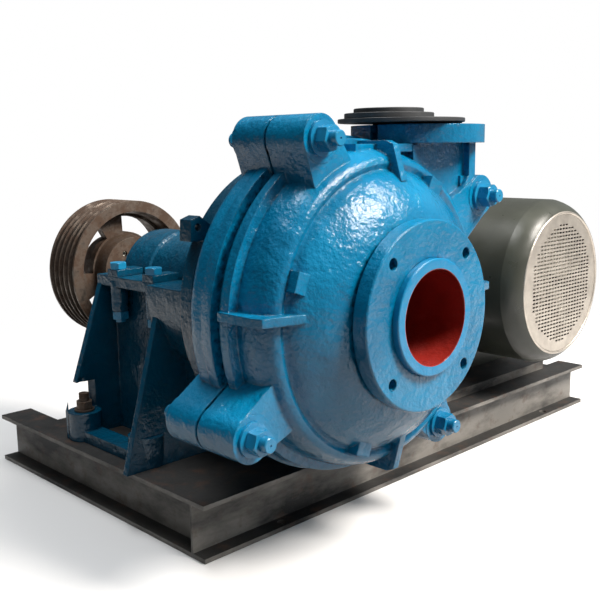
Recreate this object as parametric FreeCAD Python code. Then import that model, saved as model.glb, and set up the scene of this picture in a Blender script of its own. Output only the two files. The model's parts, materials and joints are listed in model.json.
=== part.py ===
import FreeCAD, Part
import math
import os

# Horizontal lined slurry pump with a side-by-side electric motor on a welded base.
# Working axes: +Y runs back along the pump shaft from the suction face,
# +X points across to the motor and +Z is up. Millimetres throughout.

# ---- frame of reference ----
SHAFT_TO_FLOOR = 405.0
ORIGIN_X = 325.0
ORIGIN_Y = 472.0

# ---- suction side and casing ----
SUCTION_FLANGE_R = 152.5
SUCTION_FLANGE_T = 27.0
SUCTION_PCD_R = 130.0
SUCTION_HOLE_R = 9.5
SUCTION_BORE_R = 76.0
LINER_RING_R = 93.0
LINER_RING_PROUD = 11.0
NECK_R = 118.0
GROOVE_R = 246.0
CASING_Z = 10.0
JOINT_R = 284.0
FRAME_JOINT_R = 289.0
COVER_END_Y = 176.0
FRAME_START_Y = 192.0
CASING_MID_Y = 184.0
FRAME_PLATE_BACK_Y = 262.0
CAVITY_R = 252.0
CAVITY_FRONT_Y = 104.0
CAVITY_BACK_Y = 248.0

# ---- casing bolts ----
BOLT_SPOTS = ((-139.0, 276.0), (-287.0, -152.0), (163.0, -232.0), (281.0, 173.0))
BOSS_R = 37.0
BOSS_FRONT_Y = 100.0
BOSS_BACK_Y = 260.0
BOLT_R = 12.0
BOLT_END_Y = 60.0
BOLT_HOLE_R = 13.0
WASHER_R = 27.0
WASHER_T = 5.0
NUT_AF = 36.0
NUT_H = 21.0

# ---- discharge ----
DISCHARGE_X = 198.0
DISCHARGE_NECK_R = 80.0
DISCHARGE_FLANGE_R = 120.0
DISCHARGE_FLANGE_Z = 268.0
DISCHARGE_TOP_Z = 300.0
DISCHARGE_PCD_R = 98.0
SPOUT_R = 64.0
SPOUT_BORE_R = 51.0

# ---- liners and impeller ----
LINER_R = 250.0
LINER_FRONT_Y = 106.0
LINER_BACK_Y = 246.0
VOLUTE_START_R = 196.0
VOLUTE_END_R = 236.0
VOLUTE_FRONT_Y = 126.0
VOLUTE_BACK_Y = 226.0
SIDE_OPENING_R = 190.0
IMPELLER_R = 182.5
IMPELLER_FRONT_Y = 140.0
IMPELLER_BACK_Y = 219.0
SHROUD_T = 13.0
VANE_COUNT = 5
VANE_T = 11.0
EYE_R = 74.0
HUB_R = 46.0

# ---- shaft line ----
SHAFT_R = 32.0
SLEEVE_R = 40.0
BEARING_SEAT_R = 40.0
SHAFT_END_Y = 926.0
STUFFING_BORE_R = 56.0
STUFFING_BARREL_R = 72.0
RUN_CLEAR = 0.05
HOUSING_R = 98.0
HOUSING_FRONT_Y = 440.0
HOUSING_BACK_Y = 700.0
BEARING_OUTER_R = 70.0
BEARING_WIDTH = 42.0
FRONT_BEARING_Y = 470.0
REAR_BEARING_Y = 630.0

# ---- pump pulley ----
PULLEY_R = 153.0
PULLEY_FRONT_Y = 814.0
GROOVE_PITCH = 19.0
GROOVE_EDGE = 12.5
GROOVE_COUNT = 5
GROOVE_DEPTH = 15.0
GROOVE_TOP_HALF = 7.5
GROOVE_BOTTOM_HALF = 3.5
PULLEY_RIM_T = 9.0
PULLEY_SPOKE_HOLES = 4

# ---- pedestal ----
FOOT_X = 216.0
FOOT_REAR_Y = 690.0
FOOT_FRONT_Y = 477.0
FOOT_R = 33.0
FOOT_H = 56.0
FOOT_HOLE_R = 11.0
CRADLE_TOP_Z = 18.0
CRADLE_R = 116.0
CRADLE_X = 158.0
CRADLE_FRONT_Y = 418.0
CRADLE_BACK_Y = 712.0
RING_R = 246.0
RING_FRONT_Y = 290.0
RING_T = 28.0

# ---- base ----
BEAM_H = 100.0
BEAM_W = 68.0
BEAM_FLANGE_T = 8.0
BEAM_WEB_T = 5.0
BASE_LEFT_X = -267.0
BASE_RIGHT_X = 988.0
BASE_FRONT_Y = 247.0
BASE_BACK_Y = 955.0
REAR_BEAM_Y = 767.0
BASE_TOP_Z = -305.0
DECK_T = 12.0

# ---- motor ----
MOTOR_X = 700.0
MOTOR_Z = -45.6
MOTOR_H = 180.0
MOTOR_FACE_Y = 159.0
GRILLE_R = 161.5
COWL_R = 187.0
COWL_T = 2.5
COWL_BACK_Y = 340.0
MOTOR_BODY_R = 160.0
MOTOR_FIN_R = 181.0
MOTOR_BODY_BACK_Y = 760.0
MOTOR_SHOULDER_Y = 825.0
MOTOR_SHAFT_R = 24.0
MOTOR_SHAFT_END_Y = 935.0
MOTOR_FOOT_X = 139.5
MOTOR_FOOT_FRONT_Y = 425.0
MOTOR_FOOT_BACK_Y = 704.0
MOTOR_PULLEY_R = 106.0
MOTOR_PLATE_T = 20.0
RAIL_W = 50.0

os.makedirs("parts", exist_ok=True)


# ---------------------------------------------------------------- helpers
def vec(x, y, z):
    return FreeCAD.Vector(x, y, z)


def box(x0, x1, y0, y1, z0, z1):
    return Part.makeBox(x1 - x0, y1 - y0, z1 - z0, vec(x0, y0, z0))


def rod_y(x, z, radius, y0, y1):
    return Part.makeCylinder(radius, y1 - y0, vec(x, y0, z), vec(0, 1, 0))


def rod_z(x, y, radius, z0, z1):
    return Part.makeCylinder(radius, z1 - z0, vec(x, y, z0), vec(0, 0, 1))


def rod_x(y, z, radius, x0, x1):
    return Part.makeCylinder(radius, x1 - x0, vec(x0, y, z), vec(1, 0, 0))


def ring_y(x, z, r_out, r_in, y0, y1):
    return rod_y(x, z, r_out, y0, y1).cut(rod_y(x, z, r_in, y0 - 1, y1 + 1))


def ring_z(x, y, r_out, r_in, z0, z1):
    return rod_z(x, y, r_out, z0, z1).cut(rod_z(x, y, r_in, z0 - 1, z1 + 1))


def revolve_y(points, x=0.0, z=0.0):
    """Solid of revolution about a Y-parallel axis from (y, r) corner points."""
    corners = [vec(x + r, y, z) for y, r in points]
    wire = Part.makePolygon(corners + [corners[0]])
    return Part.Face(wire).revolve(vec(x, 0, z), vec(0, 1, 0), 360)


def curve_points(p0, p1, p2, steps):
    """Points along the quadratic curve from p0 to p2 pulled toward p1."""
    points = []
    for i in range(steps + 1):
        t = i / steps
        a = (1 - t) * (1 - t)
        b = 2 * t * (1 - t)
        c = t * t
        points.append((a * p0[0] + b * p1[0] + c * p2[0], a * p0[1] + b * p1[1] + c * p2[1]))
    return points


def smooth_revolve_y(runs, x=0.0, z=0.0):
    """Revolve a closed outline made of straight runs and spline runs.

    Each run is a list of (y, r) points: two points give a line, more give a spline.
    """
    edges = []
    for run in runs:
        pts = [vec(x + r, y, z) for y, r in run]
        if len(pts) == 2:
            edges.append(Part.LineSegment(pts[0], pts[1]).toShape())
        else:
            curve = Part.BSplineCurve()
            curve.interpolate(pts)
            edges.append(curve.toShape())
    wire = Part.Wire(Part.__sortEdges__(edges))
    return Part.Face(wire).revolve(vec(x, 0, z), vec(0, 1, 0), 360)


def hexagon_y(x, z, across_flats, y0, y1, turn=0.0):
    radius = across_flats / math.sqrt(3)
    corners = []
    for i in range(6):
        a = math.radians(60 * i + turn)
        corners.append(vec(x + radius * math.cos(a), y0, z + radius * math.sin(a)))
    wire = Part.makePolygon(corners + [corners[0]])
    prism = Part.Face(wire).extrude(vec(0, y1 - y0, 0))
    crown = rod_y(x, z, radius, y0, y1)
    return prism.common(crown.makeChamfer(0.12 * across_flats / 2, crown.Edges[:1] + crown.Edges[2:]))


def hexagon_z(x, y, across_flats, z0, z1, turn=0.0):
    radius = across_flats / math.sqrt(3)
    corners = []
    for i in range(6):
        a = math.radians(60 * i + turn)
        corners.append(vec(x + radius * math.cos(a), y + radius * math.sin(a), z0))
    wire = Part.makePolygon(corners + [corners[0]])
    prism = Part.Face(wire).extrude(vec(0, 0, z1 - z0))
    crown = rod_z(x, y, radius, z0, z1)
    return prism.common(crown.makeChamfer(0.12 * across_flats / 2, crown.Edges[:1] + crown.Edges[2:]))


def prism_y(points, y0, y1):
    """Extrude a closed (x, z) outline along Y."""
    corners = [vec(px, y0, pz) for px, pz in points]
    return Part.Face(Part.makePolygon(corners + [corners[0]])).extrude(vec(0, y1 - y0, 0))


def prism_x(points, x0, x1):
    """Extrude a closed (y, z) outline along X."""
    corners = [vec(x0, py, pz) for py, pz in points]
    return Part.Face(Part.makePolygon(corners + [corners[0]])).extrude(vec(x1 - x0, 0, 0))


def prism_z(points, z0, z1):
    """Extrude a closed (x, y) outline along Z."""
    corners = [vec(px, py, z0) for px, py in points]
    return Part.Face(Part.makePolygon(corners + [corners[0]])).extrude(vec(0, 0, z1 - z0))


def fuse(shapes):
    result = shapes[0].multiFuse(shapes[1:]) if len(shapes) > 1 else shapes[0]
    return result.removeSplitter()


def spin_y(shape, degrees, x=0.0, z=0.0):
    turned = shape.copy()
    turned.rotate(vec(x, 0, z), vec(0, 1, 0), degrees)
    return turned


def save(node, shapes):
    """Write one node, moved so that the floor is Z 0 under the middle of the machine."""
    parts = shapes if isinstance(shapes, list) else [shapes]
    solids = []
    for part in parts:
        solids.extend(part.Solids)
    group = solids[0] if len(solids) == 1 else Part.makeCompound(solids)
    group = group.copy()
    group.translate(vec(-ORIGIN_X, -ORIGIN_Y, SHAFT_TO_FLOOR))
    group.exportStep("parts/" + node + ".step")


# ---------------------------------------------------------------- base
def beam_x(x0, x1, y0):
    """Rolled I-beam along X whose front edge is at y0."""
    top = BASE_TOP_Z
    low = top - BEAM_H
    mid = y0 + BEAM_W / 2
    parts = [
        box(x0, x1, y0, y0 + BEAM_W, top - BEAM_FLANGE_T, top),
        box(x0, x1, mid - BEAM_WEB_T / 2, mid + BEAM_WEB_T / 2, low, top),
        box(x0, x1, y0, y0 + BEAM_W, low, low + BEAM_FLANGE_T),
    ]
    return fuse(parts)


def beam_y(x0, y0, y1):
    """Rolled I-beam along Y whose left edge is at x0."""
    top = BASE_TOP_Z
    low = top - BEAM_H
    mid = x0 + BEAM_W / 2
    parts = [
        box(x0, x0 + BEAM_W, y0, y1, top - BEAM_FLANGE_T, top),
        box(mid - BEAM_WEB_T / 2, mid + BEAM_WEB_T / 2, y0, y1, low, top),
        box(x0, x0 + BEAM_W, y0, y1, low, low + BEAM_FLANGE_T),
    ]
    return fuse(parts)


ANCHOR_HOLE_R = 9.0
ANCHOR_INSET = 15.0
ANCHOR_XS = (-80.0, 822.0)
beam_low = BASE_TOP_Z - BEAM_H


def drill_anchors(beam, y):
    for anchor_x in ANCHOR_XS:
        beam = beam.cut(rod_z(anchor_x, y, ANCHOR_HOLE_R, beam_low - 1, beam_low + BEAM_FLANGE_T + 1))
    return beam


front_beam = drill_anchors(beam_x(BASE_LEFT_X, BASE_RIGHT_X, BASE_FRONT_Y), BASE_FRONT_Y + ANCHOR_INSET)
save("base_front_beam", front_beam)

INNER_LEFT_X = BASE_LEFT_X + BEAM_W
INNER_RIGHT_X = BASE_RIGHT_X - BEAM_W - 60.0
FRONT_INNER_Y = BASE_FRONT_Y + BEAM_W
left_beam = beam_y(BASE_LEFT_X, FRONT_INNER_Y, BASE_BACK_Y)
right_beam = beam_y(INNER_RIGHT_X, FRONT_INNER_Y, BASE_BACK_Y)
for y in (FOOT_FRONT_Y, FOOT_REAR_Y):
    left_beam = left_beam.cut(rod_z(-FOOT_X, y, FOOT_HOLE_R, BASE_TOP_Z - 20, BASE_TOP_Z + 1))
save("base_end_beams", [left_beam, right_beam])

rear_beam = drill_anchors(beam_x(INNER_LEFT_X, INNER_RIGHT_X, REAR_BEAM_Y), REAR_BEAM_Y + BEAM_W - ANCHOR_INSET)
save("base_rear_beam", rear_beam)

# Channels under the pump deck, web upright, flanges turned inward
CHANNEL_W = 45.0
CHANNEL_T = 6.0


def channel_y(x0, direction):
    top = BASE_TOP_Z - DECK_T
    low = BASE_TOP_Z - BEAM_H
    x1 = x0 + direction * CHANNEL_W
    xt = x0 + direction * CHANNEL_T
    left, right = min(x0, x1), max(x0, x1)
    web = box(min(x0, xt), max(x0, xt), FRONT_INNER_Y, REAR_BEAM_Y, low, top)
    upper = box(left, right, FRONT_INNER_Y, REAR_BEAM_Y, top - CHANNEL_T, top)
    lower = box(left, right, FRONT_INNER_Y, REAR_BEAM_Y, low, low + CHANNEL_T)
    return fuse([web, upper, lower])


DECK_RIGHT_X = 330.0
save("base_cross_channels", [channel_y(-189.0, 1), channel_y(DECK_RIGHT_X - 20.0, -1), channel_y(470.0, 1)])

deck = box(INNER_LEFT_X, DECK_RIGHT_X, FRONT_INNER_Y, REAR_BEAM_Y, BASE_TOP_Z - DECK_T, BASE_TOP_Z)
for y in (FOOT_FRONT_Y, FOOT_REAR_Y):
    deck = deck.cut(rod_z(FOOT_X, y, FOOT_HOLE_R, BASE_TOP_Z - 20, BASE_TOP_Z + 1))
save("pump_deck", deck)

# Two flat plates that carry the motor rails, laid across the beams
PLATE_LEFT_X = 440.0
PLATE_RIGHT_X = 886.0
PLATE_TOP_Z = BASE_TOP_Z + MOTOR_PLATE_T
front_plate = box(PLATE_LEFT_X, PLATE_RIGHT_X, 303.0, 458.0, BASE_TOP_Z, PLATE_TOP_Z)
back_plate = box(PLATE_LEFT_X, PLATE_RIGHT_X, 660.0, 790.0, BASE_TOP_Z, PLATE_TOP_Z)
RAIL_LEFT_X = 500.0
RAIL_RIGHT_X = 884.0
RAIL_TOP_Z = MOTOR_Z - MOTOR_H
RAIL_SLOT_HALF = 7.0
RAIL_SPAN_Y = (MOTOR_FOOT_FRONT_Y, MOTOR_FOOT_BACK_Y)
save("motor_plates", [front_plate, back_plate])


def motor_rail(y):
    """Cast slide rail with a T-slot for the motor bolts."""
    half = RAIL_W / 2
    top = RAIL_TOP_Z
    rail = box(RAIL_LEFT_X, RAIL_RIGHT_X, y - half, y + half, PLATE_TOP_Z, top)
    slot = box(RAIL_LEFT_X + 20, RAIL_RIGHT_X - 12, y - RAIL_SLOT_HALF, y + RAIL_SLOT_HALF, top - 30, top + 1)
    pocket = box(RAIL_LEFT_X + 20, RAIL_RIGHT_X - 12, y - 13, y + 13, top - 30, top - 14)
    return rail.cut(slot).cut(pocket)


save("motor_slide_rails", [motor_rail(y) for y in RAIL_SPAN_Y])

# ---------------------------------------------------------------- casing: cover plate
dome = curve_points((SUCTION_FLANGE_T, NECK_R), (40.0, 190.0), (84.0, GROOVE_R - 4.0), 6)
crest = [(88.0, GROOVE_R), (80.0, GROOVE_R + 8.0), (84.0, 264.0), (104.0, 277.0), (132.0, 279.0), (150.0, 275.0)]
cover_outline = [
    [(SUCTION_FLANGE_T, 80.0), (SUCTION_FLANGE_T, NECK_R)],
    dome,
    [dome[-1], crest[0]],
    crest,
    [crest[-1], (156.0, JOINT_R)],
    [(156.0, JOINT_R), (COVER_END_Y, JOINT_R)],
    [(COVER_END_Y, JOINT_R), (COVER_END_Y, CAVITY_R)],
    [(COVER_END_Y, CAVITY_R), (CAVITY_FRONT_Y + 16, CAVITY_R)],
    [(CAVITY_FRONT_Y + 16, CAVITY_R), (CAVITY_FRONT_Y, CAVITY_R - 16)],
    [(CAVITY_FRONT_Y, CAVITY_R - 16), (CAVITY_FRONT_Y, 80.0)],
    [(CAVITY_FRONT_Y, 80.0), (SUCTION_FLANGE_T, 80.0)],
]
cover = smooth_revolve_y(cover_outline, 0.0, CASING_Z)
suction_flange = rod_y(0, 0, SUCTION_FLANGE_R, 0.0, SUCTION_FLANGE_T + 2)
suction_flange = suction_flange.makeChamfer(2.0, suction_flange.Edges[:1] + suction_flange.Edges[2:])


def boss_block(x, z, y0, y1):
    """Bolt boss with a web that runs in to the casing ring."""
    reach = math.hypot(x, z)
    ux, uz = x / reach, z / reach
    inner = CAVITY_R + 14.0
    half = BOSS_R * 0.98
    wide = BOSS_R * 1.35
    points = [
        (x - uz * half, z + ux * half),
        (ux * inner - uz * wide, uz * inner + ux * wide),
        (ux * inner + uz * wide, uz * inner - ux * wide),
        (x + uz * half, z - ux * half),
    ]
    return rod_y(x, z, BOSS_R, y0, y1).fuse(prism_y(points, y0 + 12.0, y1 - 12.0))


# Discharge neck with its flange, split across the middle plane of the casing
neck = rod_z(DISCHARGE_X, CASING_MID_Y, DISCHARGE_NECK_R, 40.0, DISCHARGE_FLANGE_Z + 1)
flange = rod_z(DISCHARGE_X, CASING_MID_Y, DISCHARGE_FLANGE_R, DISCHARGE_FLANGE_Z, DISCHARGE_TOP_Z)
flange = flange.makeChamfer(2.0, flange.Edges[:1] + flange.Edges[2:])
casing_cavity = rod_y(0, CASING_Z, CAVITY_R, CAVITY_FRONT_Y, CAVITY_BACK_Y)
spout_room = rod_z(DISCHARGE_X, CASING_MID_Y, SPOUT_R + 2.0, 0.0, DISCHARGE_TOP_Z + 1)
front_half = box(-400, 500, 70.0, COVER_END_Y, -400, 400)
back_half = box(-400, 500, FRAME_START_Y, 262.0, -400, 400)


def drill_flange(shape):
    for i in range(4):
        a = math.radians(45 + 90 * i)
        hx = DISCHARGE_X + DISCHARGE_PCD_R * math.cos(a)
        hy = CASING_MID_Y + DISCHARGE_PCD_R * math.sin(a)
        shape = shape.cut(rod_z(hx, hy, SUCTION_HOLE_R, DISCHARGE_FLANGE_Z - 5, DISCHARGE_TOP_Z + 5))
    return shape


# Web plate beside the discharge neck, stiffened along its top and outer edges
web_plate = box(-30.0, 150.0, 132.0, 144.0, 195.0, 272.0)
web_plate = web_plate.cut(rod_y(69.0, 246.0, 7.0, 120.0, 160.0))
web_top = box(-43.0, 121.0, 116.0, 144.0, 258.0, DISCHARGE_FLANGE_Z + 2)
web_side = box(100.0, 121.0, 116.0, 160.0, 190.0, DISCHARGE_FLANGE_Z + 2)
front_rib = prism_y([(216.0, 120.0), (256.0, 168.0), (256.0, 269.0), (190.0, 269.0), (190.0, 120.0)], 104.0, 116.0)

cover = fuse([
    cover,
    suction_flange,
    neck.common(front_half),
    flange.common(front_half),
    front_rib,
    web_plate,
    web_top,
    web_side,
] + [boss_block(x, z, BOSS_FRONT_Y, CASING_MID_Y) for x, z in BOLT_SPOTS])

# Side, bottom and right-hand lugs on the joint ring
side_lug = box(-338.0, -262.0, 118.0, COVER_END_Y, -2.0, 12.0)
side_lug = side_lug.cut(box(-322.0, -296.0, 138.0, 150.0, -5.0, 15.0))
bottom_lug = box(112.0, 128.0, 118.0, COVER_END_Y, -306.0, -236.0)
right_lug = box(262.0, 316.0, 118.0, COVER_END_Y, -4.0, 12.0)
jack_pads = []
for angle in (153.0, 246.0, 70.0):
    pad = box(GROOVE_R - 26.0, GROOVE_R + 8.0, 62.0, 100.0, -17.0, 17.0)
    jack_pads.append(spin_y(pad, -angle))
cover = fuse([cover, side_lug, bottom_lug, right_lug] + jack_pads)
cover = cover.cut(casing_cavity)
cover = cover.cut(rod_y(0, 0, LINER_RING_R + 0.1, -20.0, 61.0))
cover = cover.cut(spout_room)
throat_cone = revolve_y([(60.0, 0.0), (60.0, LINER_RING_R + 0.1), (CAVITY_FRONT_Y, 136.0), (CAVITY_FRONT_Y, 0.0)])
cover = cover.cut(throat_cone)
for i in range(4):
    a = math.radians(45 + 90 * i)
    spot = (SUCTION_PCD_R * math.cos(a), SUCTION_PCD_R * math.sin(a))
    cover = cover.cut(rod_y(spot[0], spot[1], SUCTION_HOLE_R, -1.0, SUCTION_FLANGE_T + 1))
for x, z in BOLT_SPOTS:
    cover = cover.cut(rod_y(x, z, BOLT_HOLE_R, 90.0, 190.0))
    cover = cover.cut(rod_y(x, z, WASHER_R + 2.0, 40.0, BOSS_FRONT_Y))
cover = drill_flange(cover)
save("cover_plate", cover)

# ---------------------------------------------------------------- casing: frame plate
STUFFING_SPIGOT_R = 112.0
frame_curve = [(212.0, 280.0), (224.0, 279.0), (242.0, 275.0), (254.0, 268.0), (FRAME_PLATE_BACK_Y, 252.0)]
frame_outline = [
    [(FRAME_START_Y, CAVITY_R), (FRAME_START_Y, FRAME_JOINT_R)],
    [(FRAME_START_Y, FRAME_JOINT_R), (210.0, FRAME_JOINT_R)],
    [(210.0, FRAME_JOINT_R), frame_curve[0]],
    frame_curve,
    [frame_curve[-1], (FRAME_PLATE_BACK_Y, 60.0)],
    [(FRAME_PLATE_BACK_Y, 60.0), (CAVITY_BACK_Y, 60.0)],
    [(CAVITY_BACK_Y, 60.0), (CAVITY_BACK_Y, CAVITY_R)],
    [(CAVITY_BACK_Y, CAVITY_R), (FRAME_START_Y, CAVITY_R)],
]
frame_plate = smooth_revolve_y(frame_outline, 0.0, CASING_Z)
frame_spigot = revolve_y([
    (FRAME_PLATE_BACK_Y - 2, 236.0), (RING_FRONT_Y, 236.0), (RING_FRONT_Y, 196.0), (FRAME_PLATE_BACK_Y - 2, 188.0),
])
back_lug = box(-338.0, -262.0, FRAME_START_Y, 232.0, -2.0, 12.0)
frame_plate = fuse([
    frame_plate,
    frame_spigot,
    neck.common(back_half),
    flange.common(box(-400, 500, FRAME_START_Y, 400, -400, 400)),
    back_lug,
] + [boss_block(x, z, CASING_MID_Y, BOSS_BACK_Y) for x, z in BOLT_SPOTS])
frame_plate = frame_plate.cut(casing_cavity)
frame_plate = frame_plate.cut(spout_room)
frame_plate = frame_plate.cut(rod_y(0, 0, STUFFING_SPIGOT_R, CAVITY_BACK_Y - 1, FRAME_PLATE_BACK_Y + 1))
for x, z in BOLT_SPOTS:
    frame_plate = frame_plate.cut(rod_y(x, z, BOLT_HOLE_R, 150.0, 300.0))
    frame_plate = frame_plate.cut(rod_y(x, z, WASHER_R + 2.0, BOSS_BACK_Y, 310.0))
frame_plate = drill_flange(frame_plate)
STUD_CIRCLE_R = 216.0
STUD_COUNT = 8
STUD_R = 10.0
stud_spots = []
for i in range(STUD_COUNT):
    a = math.radians(22.5 + 360.0 / STUD_COUNT * i)
    stud_spots.append((STUD_CIRCLE_R * math.cos(a), STUD_CIRCLE_R * math.sin(a)))
for x, z in stud_spots:
    frame_plate = frame_plate.cut(rod_y(x, z, STUD_R, FRAME_PLATE_BACK_Y + 3, RING_FRONT_Y + 1))
save("frame_plate", frame_plate)

# ---------------------------------------------------------------- casing bolts
bolts = []
nuts = []
washers = []
for x, z in BOLT_SPOTS:
    stud = rod_y(x, z, BOLT_R, BOLT_END_Y, 300.0)
    stud = stud.makeChamfer(1.5, stud.Edges[:1] + stud.Edges[2:])
    bolts.append(stud.cut(rod_y(x, z, 1.6, BOLT_END_Y - 1, BOLT_END_Y + 4)))
    washers.append(ring_y(x, z, WASHER_R, BOLT_R, BOSS_FRONT_Y - WASHER_T, BOSS_FRONT_Y))
    washers.append(ring_y(x, z, WASHER_R, BOLT_R, BOSS_BACK_Y, BOSS_BACK_Y + WASHER_T))
    front_nut = hexagon_y(x, z, NUT_AF, BOSS_FRONT_Y - WASHER_T - NUT_H, BOSS_FRONT_Y - WASHER_T, 12.0)
    back_nut = hexagon_y(x, z, NUT_AF, BOSS_BACK_Y + WASHER_T, BOSS_BACK_Y + WASHER_T + NUT_H, 12.0)
    for nut in (front_nut, back_nut):
        nuts.append(nut.cut(rod_y(x, z, BOLT_R, 0.0, 400.0)))
save("casing_bolts", bolts)
save("casing_bolt_nuts", nuts + washers)

# ---------------------------------------------------------------- volute liner
SPIRAL_STEPS = 18
SPIRAL_START = 62.0


def spiral_wire(extra):
    """Closed outline of the volute: radius grows round to the discharge."""
    points = []
    for i in range(SPIRAL_STEPS + 1):
        turn = i / SPIRAL_STEPS
        radius = VOLUTE_START_R + (VOLUTE_END_R - VOLUTE_START_R) * turn + extra
        a = math.radians(SPIRAL_START + 298.0 * turn)
        points.append(vec(radius * math.cos(a), VOLUTE_FRONT_Y, radius * math.sin(a)))
    curve = Part.BSplineCurve()
    curve.interpolate(points)
    closing = Part.makePolygon([points[-1], points[0]])
    return Part.Wire([curve.toShape()] + closing.Edges)


liner_body = revolve_y([
    (LINER_FRONT_Y, SIDE_OPENING_R - 20),
    (LINER_FRONT_Y, LINER_R - 18),
    (LINER_FRONT_Y + 18, LINER_R),
    (LINER_BACK_Y - 2, LINER_R),
    (LINER_BACK_Y, LINER_R - 2),
    (LINER_BACK_Y, SIDE_OPENING_R - 20),
], 0.0, CASING_Z)
spout = rod_z(DISCHARGE_X, CASING_MID_Y, SPOUT_R, 60.0, DISCHARGE_TOP_Z + 4)
liner = liner_body.fuse(spout)
volute_room = Part.Face(spiral_wire(0.0)).extrude(vec(0, VOLUTE_BACK_Y - VOLUTE_FRONT_Y, 0))
spout_bore = rod_z(DISCHARGE_X, CASING_MID_Y, SPOUT_BORE_R, 0.0, DISCHARGE_TOP_Z + 10)
side_room = rod_y(0, 0, SIDE_OPENING_R, LINER_FRONT_Y - 1, LINER_BACK_Y + 1)
liner = liner.cut(volute_room).cut(spout_bore).cut(side_room)
save("volute_liner", liner)

# Suction liner: its red ring stands proud of the suction flange
throat = smooth_revolve_y([
    [(-LINER_RING_PROUD, SUCTION_BORE_R), (-LINER_RING_PROUD, LINER_RING_R - 1.5)],
    [(-LINER_RING_PROUD, LINER_RING_R - 1.5), (-LINER_RING_PROUD + 1.5, LINER_RING_R)],
    [(-LINER_RING_PROUD + 1.5, LINER_RING_R), (61.0, LINER_RING_R)],
    [(61.0, LINER_RING_R), (CAVITY_FRONT_Y, 132.0)],
    [(CAVITY_FRONT_Y, 132.0), (LINER_FRONT_Y, 134.0)],
    [(LINER_FRONT_Y, 134.0), (LINER_FRONT_Y, SIDE_OPENING_R - 0.5)],
    [(LINER_FRONT_Y, SIDE_OPENING_R - 0.5), (IMPELLER_FRONT_Y - 10, SIDE_OPENING_R - 0.5)],
    [(IMPELLER_FRONT_Y - 10, SIDE_OPENING_R - 0.5), (IMPELLER_FRONT_Y - 6, SUCTION_BORE_R + 6)],
    [(IMPELLER_FRONT_Y - 6, SUCTION_BORE_R + 6), (IMPELLER_FRONT_Y - 12, SUCTION_BORE_R)],
    [(IMPELLER_FRONT_Y - 12, SUCTION_BORE_R), (-LINER_RING_PROUD, SUCTION_BORE_R)],
])
save("throatbush", throat)

back_liner = ring_y(0, 0, SIDE_OPENING_R - 0.5, 62.0, 227.0, LINER_BACK_Y)
save("frame_plate_liner", back_liner)

save("discharge_joint_ring", ring_z(DISCHARGE_X, CASING_MID_Y, DISCHARGE_NECK_R, SPOUT_R + 0.2,
                                    DISCHARGE_TOP_Z, DISCHARGE_TOP_Z + 4))

# Three plain discs that blank the discharge for transport
LOW_BLANK = (151.0, 112.0, 304.0, 311.0)
MID_BLANK = (118.0, 78.0, 311.0, 320.0)
TOP_BLANK = (117.0, 61.0, 320.0, 328.0)
for node, (bx, br, z0, z1) in zip(("discharge_blank_lower", "discharge_blank_middle", "discharge_blank_upper"),
                                  (LOW_BLANK, MID_BLANK, TOP_BLANK)):
    disc = rod_z(bx, CASING_MID_Y, br, z0, z1)
    disc = disc.makeChamfer(1.0, disc.Edges[:1] + disc.Edges[2:])
    save(node, disc)

# ---------------------------------------------------------------- impeller
back_shroud = rod_y(0, 0, IMPELLER_R, IMPELLER_BACK_Y - SHROUD_T, IMPELLER_BACK_Y)
front_shroud = ring_y(0, 0, IMPELLER_R, EYE_R, IMPELLER_FRONT_Y, IMPELLER_FRONT_Y + SHROUD_T)
hub = revolve_y([
    (178.0, 0.0), (180.0, 16.0), (190.0, 34.0), (206.0, HUB_R + 6), (IMPELLER_BACK_Y, HUB_R + 6),
    (IMPELLER_BACK_Y + 1, HUB_R), (CAVITY_BACK_Y, HUB_R), (CAVITY_BACK_Y, 0.0),
])


def vane(start_angle):
    """Backward-curved vane that wraps from the eye to the rim."""
    inner_side = []
    outer_side = []
    steps = 8
    for i in range(steps + 1):
        t = i / steps
        radius = 62.0 + (IMPELLER_R - 64.0) * t
        a = math.radians(start_angle - 88.0 * t)
        half = VANE_T / 2
        inner_side.append(((radius - half) * math.cos(a), (radius - half) * math.sin(a)))
        outer_side.append(((radius + half) * math.cos(a), (radius + half) * math.sin(a)))
    outline = inner_side + outer_side[::-1]
    return prism_y(outline, IMPELLER_FRONT_Y + SHROUD_T - 1, IMPELLER_BACK_Y - SHROUD_T + 1)


pump_out = []
for i in range(6):
    rib = box(HUB_R + 24.0, IMPELLER_R - 6.0, IMPELLER_BACK_Y - 1, IMPELLER_BACK_Y + 5, -4.0, 4.0)
    pump_out.append(spin_y(rib, 60.0 * i))
impeller = fuse([back_shroud, front_shroud, hub] + [vane(72.0 * i) for i in range(VANE_COUNT)] + pump_out)
impeller = impeller.common(rod_y(0, 0, IMPELLER_R, 100.0, 260.0))
impeller = impeller.cut(rod_y(0, 0, 26.0, 208.0, 260.0))
save("impeller", impeller)

# ---------------------------------------------------------------- shaft line
shaft = revolve_y([
    (208.0, 0.0), (208.0, 24.0), (210.0, 26.0), (CAVITY_BACK_Y, 26.0), (CAVITY_BACK_Y, SHAFT_R), (395.0, SHAFT_R),
    (395.0, BEARING_SEAT_R), (512.0, BEARING_SEAT_R), (512.0, 46.0), (FRONT_BEARING_Y + 90, 46.0),
    (REAR_BEARING_Y, 46.0), (REAR_BEARING_Y, BEARING_SEAT_R), (728.0, BEARING_SEAT_R),
    (728.0, SHAFT_R), (SHAFT_END_Y - 2, SHAFT_R), (SHAFT_END_Y, SHAFT_R - 2), (SHAFT_END_Y, 0.0),
])
KEY_W = 16.0
KEY_Y0 = 822.0
KEY_Y1 = 912.0
key_box = box(-KEY_W / 2, KEY_W / 2, KEY_Y0, KEY_Y1, SHAFT_R - 6, SHAFT_R + 4)
shaft = shaft.cut(key_box)
save("pump_shaft", shaft)
save("pump_shaft_key", key_box)
sleeve = ring_y(0, 0, SLEEVE_R, SHAFT_R, CAVITY_BACK_Y, 388.0)
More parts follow.
